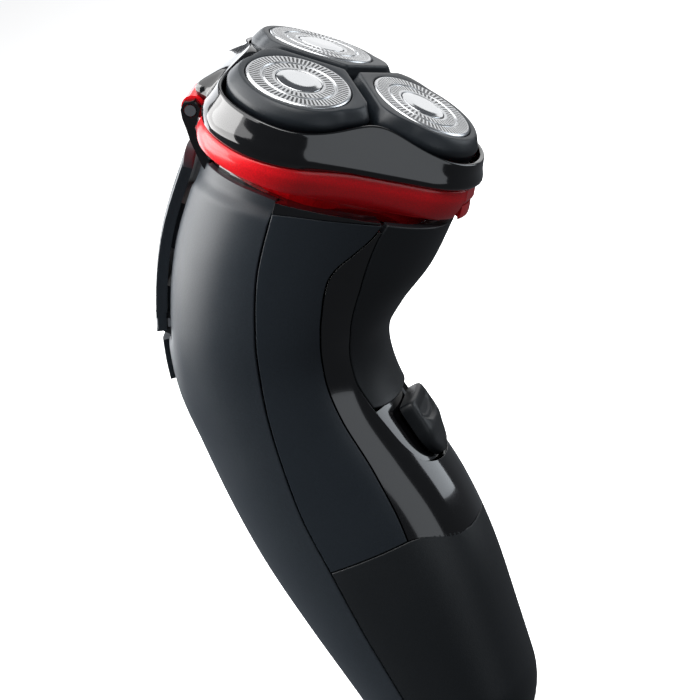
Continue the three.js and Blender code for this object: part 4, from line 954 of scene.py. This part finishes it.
petal_points = petal_ring()
for k in range(3):
    points = from_lobe(petal_points, k)
    closed = np.concatenate([points, points[:1]])
    piece(f"petal_{k + 1}_moulded", closed, grid_faces(*closed.shape[:2], wrap=True),
          f"floating_head_{k + 1}", "petal_grey", stands_for=[f"petal_{k + 1}"])
print("three petals of", len(closed) * closed.shape[1], "points each")


# %% [markdown]
# ## Steel for the guards
# A real guard has over a hundred slots, each a few tenths of a millimetre wide. Cutting them into the mesh
# would cost a great many faces, so the material dents them and paints them near black, as painted shade for
# the depth seen through each opening. The pattern reads a UV map of turns and radius, which stays with the
# guard when the head moves.


# %% Slotted steel, with painted shade in the slots
SLOT_RINGS = (  # inner and outer radius as shares of the guard's, slots in the ring, share cut away, lean
    (0.735, 0.945, 68, 0.5, 0.012),
    (0.505, 0.665, 44, 0.46, -0.02),
)


def slot_ring(nodes, links, turn, radius, low, high, count, share, lean):
    """1 in the slots of one ring: a wave along the angle, leaned by the radius, and a window in the radius."""
    leaned = calculate(nodes, links, "MULTIPLY_ADD", radius, lean, turn)
    saw = calculate(nodes, links, "PINGPONG", calculate(nodes, links, "MULTIPLY", leaned, count), 0.5)
    mask = remap(nodes, links, saw, share * 0.5 + 0.06, share * 0.5 - 0.06)
    mask.node.interpolation_type = "SMOOTHSTEP"
    for start, end in ((low, low + 0.012), (high, high - 0.012)):
        mask = calculate(nodes, links, "MULTIPLY", mask, remap(nodes, links, radius, start, end))
    return mask


def steel_with_shaded_slots():
    """Bright steel with two rings of slots, painted near black as painted shade for their depth, dented, and
    scratched round its axis.
    """
    material, nodes, links, shader = new_material("guard_steel_painted_slot_shade")
    place = nodes.new("ShaderNodeUVMap")
    place.uv_map = "round"
    split = nodes.new("ShaderNodeSeparateXYZ")
    links.new(place.outputs["UV"], split.inputs["Vector"])
    turn, radius = split.outputs["X"], split.outputs["Y"]
    rings = [slot_ring(nodes, links, turn, radius, *ring) for ring in SLOT_RINGS]
    slots = calculate(nodes, links, "MAXIMUM", *rings)
    colour = nodes.new("ShaderNodeMix")
    colour.data_type = "RGBA"
    colour.inputs["A"].default_value = (0.66, 0.67, 0.68, 1)
    # Colour B, near black, is painted shade: it stands for the shadowed depth seen through each slot, not a
    # colour of the steel.
    colour.inputs["B"].default_value = (0.012, 0.013, 0.015, 1)
    links.new(slots, colour.inputs["Factor"])
    links.new(colour.outputs["Result"], shader.inputs["Base Color"])
    links.new(remap(nodes, links, slots, 0, 1, 1, 0.2), shader.inputs["Metallic"])
    stretched = nodes.new("ShaderNodeMapping")
    stretched.inputs["Scale"].default_value = (0.3, 14, 1)
    links.new(place.outputs["UV"], stretched.inputs["Vector"])
    scratches = noise(nodes, links, stretched.outputs["Vector"], 60, 5)
    links.new(remap(nodes, links, scratches, 0, 1, 0.18, 0.38), shader.inputs["Roughness"])
    height = calculate(nodes, links, "SUBTRACT", 1, slots)
    links.new(raised(nodes, links, height, 0.00025, 0.8), shader.inputs["Normal"])
    return material


SHADED_SLOT_STEEL = steel_with_shaded_slots()


# %% [markdown]
# ## Guards and caps
# Both are turned parts: a profile of radius and level carried once round an axis. Each is made flat and then
# leaned onto its lobe, and the guards get the UV map that the slots need.

# %% Guards and caps
def turned(profile, sides):
    """A profile of (radius, level) carried round an axis."""
    angle = np.linspace(0, 2 * math.pi, sides, endpoint=False)
    profile = np.array(profile, float)
    return polar(angle[None], profile[:, :1], profile[:, 1:])


def round_map(thing, k, outer):
    """A UV map of (angle in turns, radius over the outer radius) about lobe k's axis."""
    mesh = thing.data
    corner = np.zeros(len(mesh.vertices) * 3)
    mesh.vertices.foreach_get("co", corner)
    world_points = corner.reshape(-1, 3) / MM
    centre, east, north = from_lobe([[0, 0, 0], [1, 0, 0], [0, 1, 0]], k)
    x = (world_points - centre) @ (east - centre)
    y = (world_points - centre) @ (north - centre)
    turns = np.arctan2(y, x) / (2 * math.pi)
    radius = np.hypot(x, y) / outer
    vertex = np.zeros(len(mesh.loops), int)
    mesh.loops.foreach_get("vertex_index", vertex)
    u, v = turns[vertex], radius[vertex]
    starts = np.zeros(len(mesh.polygons), int)
    counts = np.zeros(len(mesh.polygons), int)
    mesh.polygons.foreach_get("loop_start", starts)
    mesh.polygons.foreach_get("loop_total", counts)
    face = np.repeat(np.arange(len(counts)), counts)
    highest = np.maximum.reduceat(u, starts)
    u = np.where(highest[face] - u > 0.5, u + 1, u)
    layer = mesh.uv_layers.new(name="round")
    layer.data.foreach_set("uv", np.stack([u, v], -1).ravel())


guard_profile = flowing([(4.95, -0.5), (4.95, -0.12), (5.1, 0.0), (5.4, 0.02), (7.2, 0.03), (7.35, -0.05),
                         (7.5, -0.26), (7.7, -0.3), (7.9, -0.26), (8.05, -0.05), (8.2, 0.03), (10.2, 0.02),
                         (10.55, -0.02), (10.85, -0.22), (11.0, -0.55), (11.0, -1.75)], 76)
guard_profile = np.concatenate([guard_profile, [(10.4, -1.75), (10.4, -0.55), (4.95, -0.5)]])
cap_profile = flowing([(0.001, 0.46), (1.5, 0.46), (2.6, 0.45), (3.3, 0.38), (3.9, 0.24), (4.5, 0.1),
                       (4.7, 0.02), (4.75, -0.12), (4.75, -0.5)], 34)
cap_profile = np.concatenate([cap_profile, [(0.001, -0.5)]])
POLISHED = metal("cap_steel", (0.72, 0.73, 0.74), 0.13, (1, 1, 1), 500, 0.08)
for k in range(3):
    points = from_lobe(turned(guard_profile, 200), k)
    guard = piece(f"guard_{k + 1}_etched", points, grid_faces(*points.shape[:2], wrap=True),
                  f"floating_head_{k + 1}", "guard_steel", SHADED_SLOT_STEEL, stands_for=[f"guard_{k + 1}"])
    round_map(guard, k, GUARD)
    points = from_lobe(turned(cap_profile, 96), k)
    piece(f"guard_cap_{k + 1}_polished", points, grid_faces(*points.shape[:2], wrap=True),
          f"floating_head_{k + 1}", "guard_steel", POLISHED, stands_for=[f"guard_cap_{k + 1}"])
print("guards carry", len(guard.data.polygons), "faces each")

# %% [markdown]
# ## Everything inside
# Cells, gears, motor, hinge and trimmer parts are seen only when the head or the trimmer opens. Their own
# solids are already right, so they only get a finish, chosen by the slot that each one names.

# %% Remaining pieces keep the model's shape
slots = {row["node"]: row["material_slot"] for row in frame["record"]["subparts"]}
for name, node in frame["nodes"].items():
    node.data.materials.clear()
    node.data.materials.append(FINISH[slots[name]])
print(len(frame["nodes"]), "nodes carry a finish")
